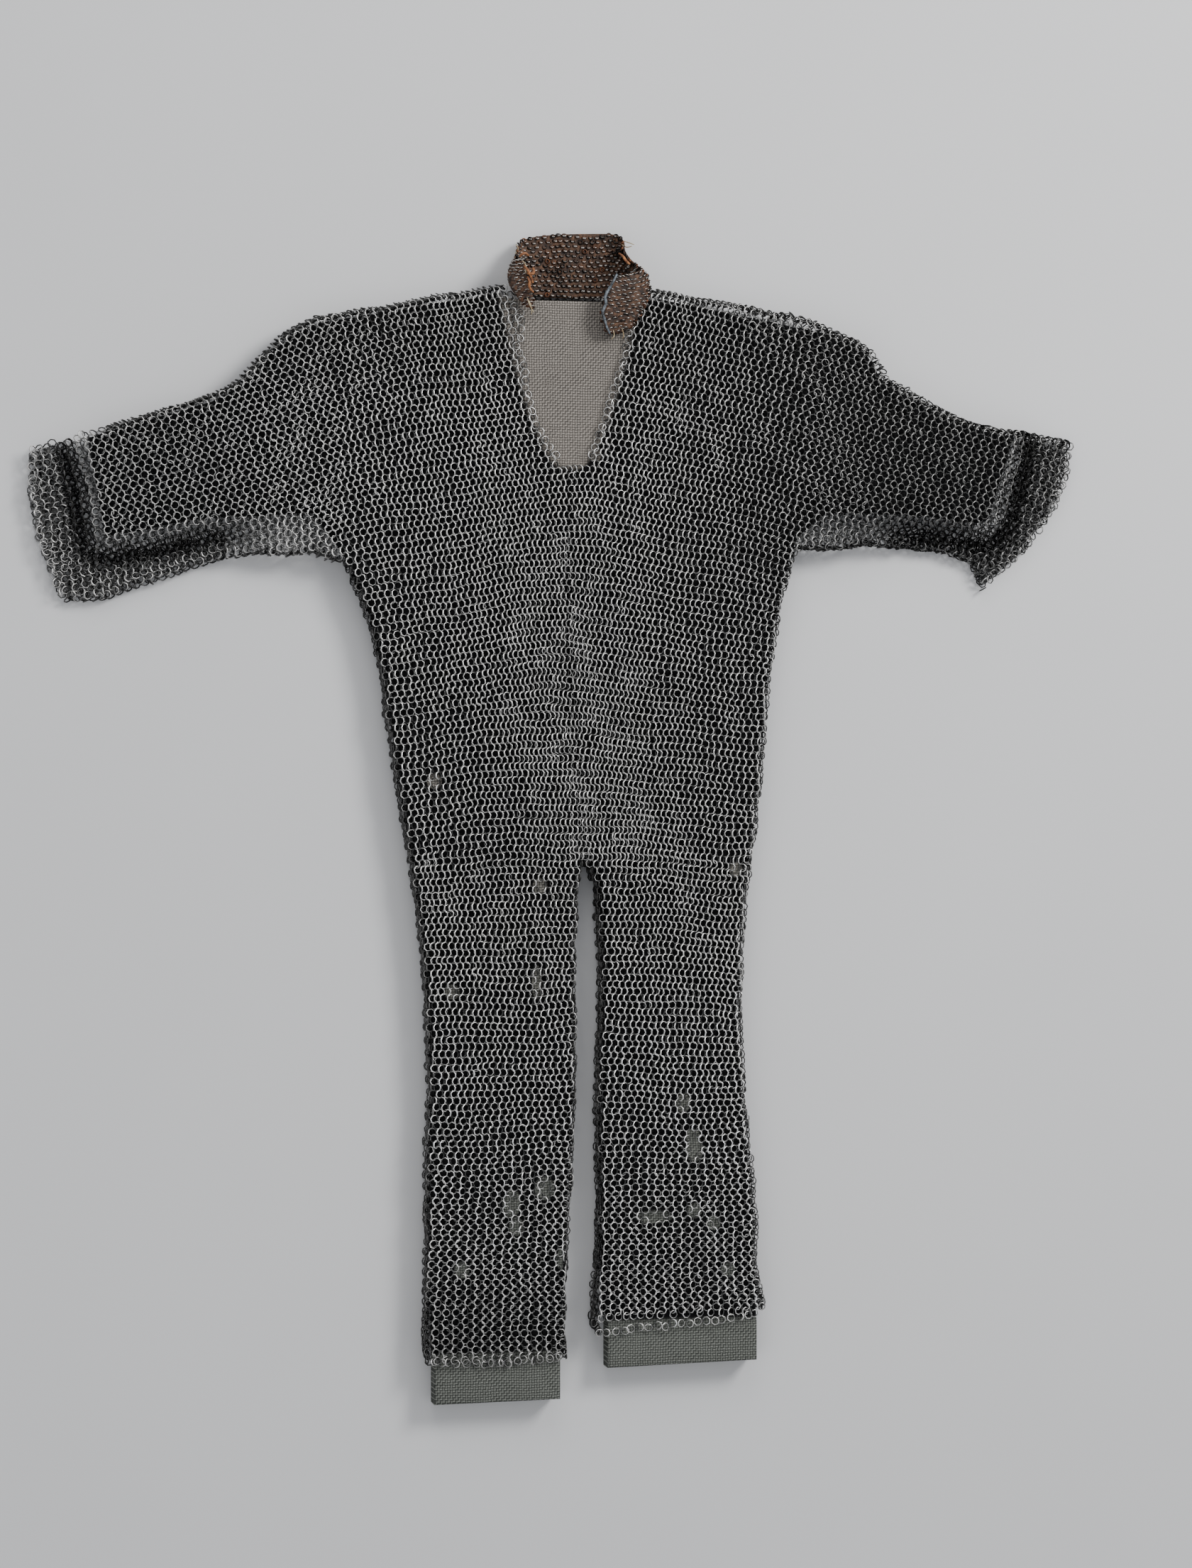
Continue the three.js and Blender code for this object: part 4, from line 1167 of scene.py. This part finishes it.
collar = collar_rings()
lace_and_shade = lacing_and_shade_sheet()
knot = thongs("collar_knot", [
    [(-56, 612, 52), (-52, 607, 54), (-49, 601, 54), (-46, 593, 52)],
    [(-53, 604, 53), (-48, 603, 55), (-45, 606, 53), (-46, 611, 51)],
    [(-52, 600, 52), (-50, 594, 54), (-50, 588, 53), (-45, 583, 51)],
    [(-61, 622, 50), (-58, 625, 52), (-54, 626, 51), (-50, 624, 48)],
    [(56, 632, 33), (59, 628, 40), (62, 622, 44), (66, 618, 46)]],
    3.4, 2.0, knot_leather)
edging = thongs("collar_edging", [
    [(50, 606, 52), (45, 597, 54), (40, 588, 53), (36, 580, 54), (37, 572, 53), (33, 563, 54),
     (36, 554, 52), (38, 547, 52), (43, 538, 49)]],
    3.8, 1.8, edge_leather, steps=30)
straws = thongs("collar_straw", [
    [(-60, 640, 24), (-58, 634, 27), (-62, 628, 30)],
    [(-52, 577, 49), (-49, 569, 49), (-44, 561, 46)],
    [(-50, 574, 49), (-47, 566, 48), (-46, 559, 44)],
    [(-58, 618, 51), (-54, 612, 53), (-55, 604, 53)],
    [(62, 648, 22), (68, 646, 24), (75, 643, 27)],
    [(60, 644, 24), (66, 640, 27), (72, 641, 29)],
    [(46, 543, 50), (47, 537, 50), (44, 533, 47)],
    [(56, 545, 50), (58, 538, 50), (57, 534, 47)]],
    1.3, 1.1, straw, steps=7, sides=5)
for piece in (lace_and_shade, knot, edging, straws):
    print(piece.name, len(piece.data.polygons), "faces")

# %% Riding and replacing
for piece, node, slot in ((front_right, "shirt_front_right", "mail"),
                          (front_left, "shirt_front_left", "mail"),
                          (back, "shirt_back", "mail"),
                          (sleeve_right, "right_sleeve", "mail"),
                          (sleeve_left, "left_sleeve", "mail"),
                          (legs[-1], "right_leg", "mail"), (legs[1], "left_leg", "mail"),
                          (collar, "collar", "collar_mail"),
                          (board, "display_board", "linen")):
    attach(piece, "root")
    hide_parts(node)
for piece in (lace_and_shade, knot, edging, straws):
    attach(piece, "root")

# %% [markdown]
# ## The cut of each panel
#
# Before it was drawn over the board each panel was a flat piece of mail, or a tube. Its
# width goes across the rows' way of stretching and its length down the body. The area
# isn't a full rectangle, and it is that of the cloth solid: its volume over its thickness.

# %% Sheets
MAIL_THICK = 3


def sheet_area(node, thickness):
    """Flat area in square metres of a cloth solid."""
    mesh = bmesh.new()
    mesh.from_mesh(nodes[node].data)
    volume = abs(mesh.calc_volume())
    mesh.free()
    return volume / (thickness * MM)


for piece, node, flat in ((front_right, "shirt_front_right", (0.30, 0.68)),
                          (front_left, "shirt_front_left", (0.31, 0.68)),
                          (back, "shirt_back", (0.53, 0.64)),
                          (sleeve_right, "right_sleeve", (0.60, 0.345)),
                          (sleeve_left, "left_sleeve", (0.56, 0.335)),
                          (legs[-1], "right_leg", (0.46, 0.56)),
                          (legs[1], "left_leg", (0.46, 0.535))):
    area = sheet_area(node, MAIL_THICK)
    print(piece.name, "cut", flat, "m, area", round(area, 3), "m2")
sheet_area("collar", COLLAR_THICK)

# %% [markdown]
# ## The studio
#
# A plain pale floor, a key lamp beyond the left shoulder, and two weaker lamps, one beyond
# the right leg and one beyond the collar. The camera looks down from 12 degrees to the
# right sleeve's side, so that side's board edge shows and the other doesn't.

# %% Floor, light and camera
TILT = math.radians(12)
DISTANCE = 4.174       # from the suit to the camera, in metres
AIM = (0.033, 0.035, 0.018)
FLOOR_Z = -0.3         # the floor lies this far under the cloth solids, in mm


def stage():
    """A pale floor, a soft world, soft lamps, and the camera over the suit."""
    points = np.array([(-1, -1, 0), (1, -1, 0), (1, 1, 0), (-1, 1, 0)], float) * 30000
    points[:, 2] = FLOOR_Z
    material, shader, place = new_material("pale_floor")
    paint = place.noise(3.0, 2.0).colours((0.74, 0.74, 0.74, 1), (0.78, 0.78, 0.78, 1))
    feed(shader, Base_Color=paint, Roughness=0.9)
    floor = piece_from("floor", points, [(0, 1, 2, 3)], material, smooth=False)
    floor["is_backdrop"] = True
    world = bpy.data.worlds.new("studio")
    world.use_nodes = True
    world.node_tree.nodes["Background"].inputs[0].default_value = (0.93, 0.95, 1, 1)
    world.node_tree.nodes["Background"].inputs[1].default_value = 0.5
    bpy.context.scene.world = world
    for name, place, size, power in (("key", (2.2, 1.9, 2.5), 1.2, 105),
                                     ("fill", (-2.2, -1.2, 3.0), 2.4, 14),
                                     ("rim", (-0.6, 2.9, 2.2), 1.8, 26)):
        lamp = bpy.data.lights.new(name, "AREA")
        lamp.size, lamp.energy = size, power
        holder = bpy.data.objects.new(name, lamp)
        holder.location = place
        holder.rotation_euler = (-Vector(place)).to_track_quat("-Z", "Y").to_euler()
        bpy.context.scene.collection.objects.link(holder)
    lens = bpy.data.cameras.new("camera")
    lens.lens, lens.sensor_width, lens.clip_end = 85, 36, 100
    camera = bpy.data.objects.new("camera", lens)
    camera.location = (AIM[0] - DISTANCE * math.sin(TILT), AIM[1],
                       AIM[2] + DISTANCE * math.cos(TILT))
    camera.rotation_euler = (0, -TILT, 0)
    bpy.context.scene.collection.objects.link(camera)
    bpy.context.scene.camera = camera


stage()

# %% Size, and the end
now_low, now_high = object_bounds()
growth = (*(cad_low - now_low), *(now_high - cad_high))
print("box grew by", [round(1000 * v, 1) for v in growth], "mm")
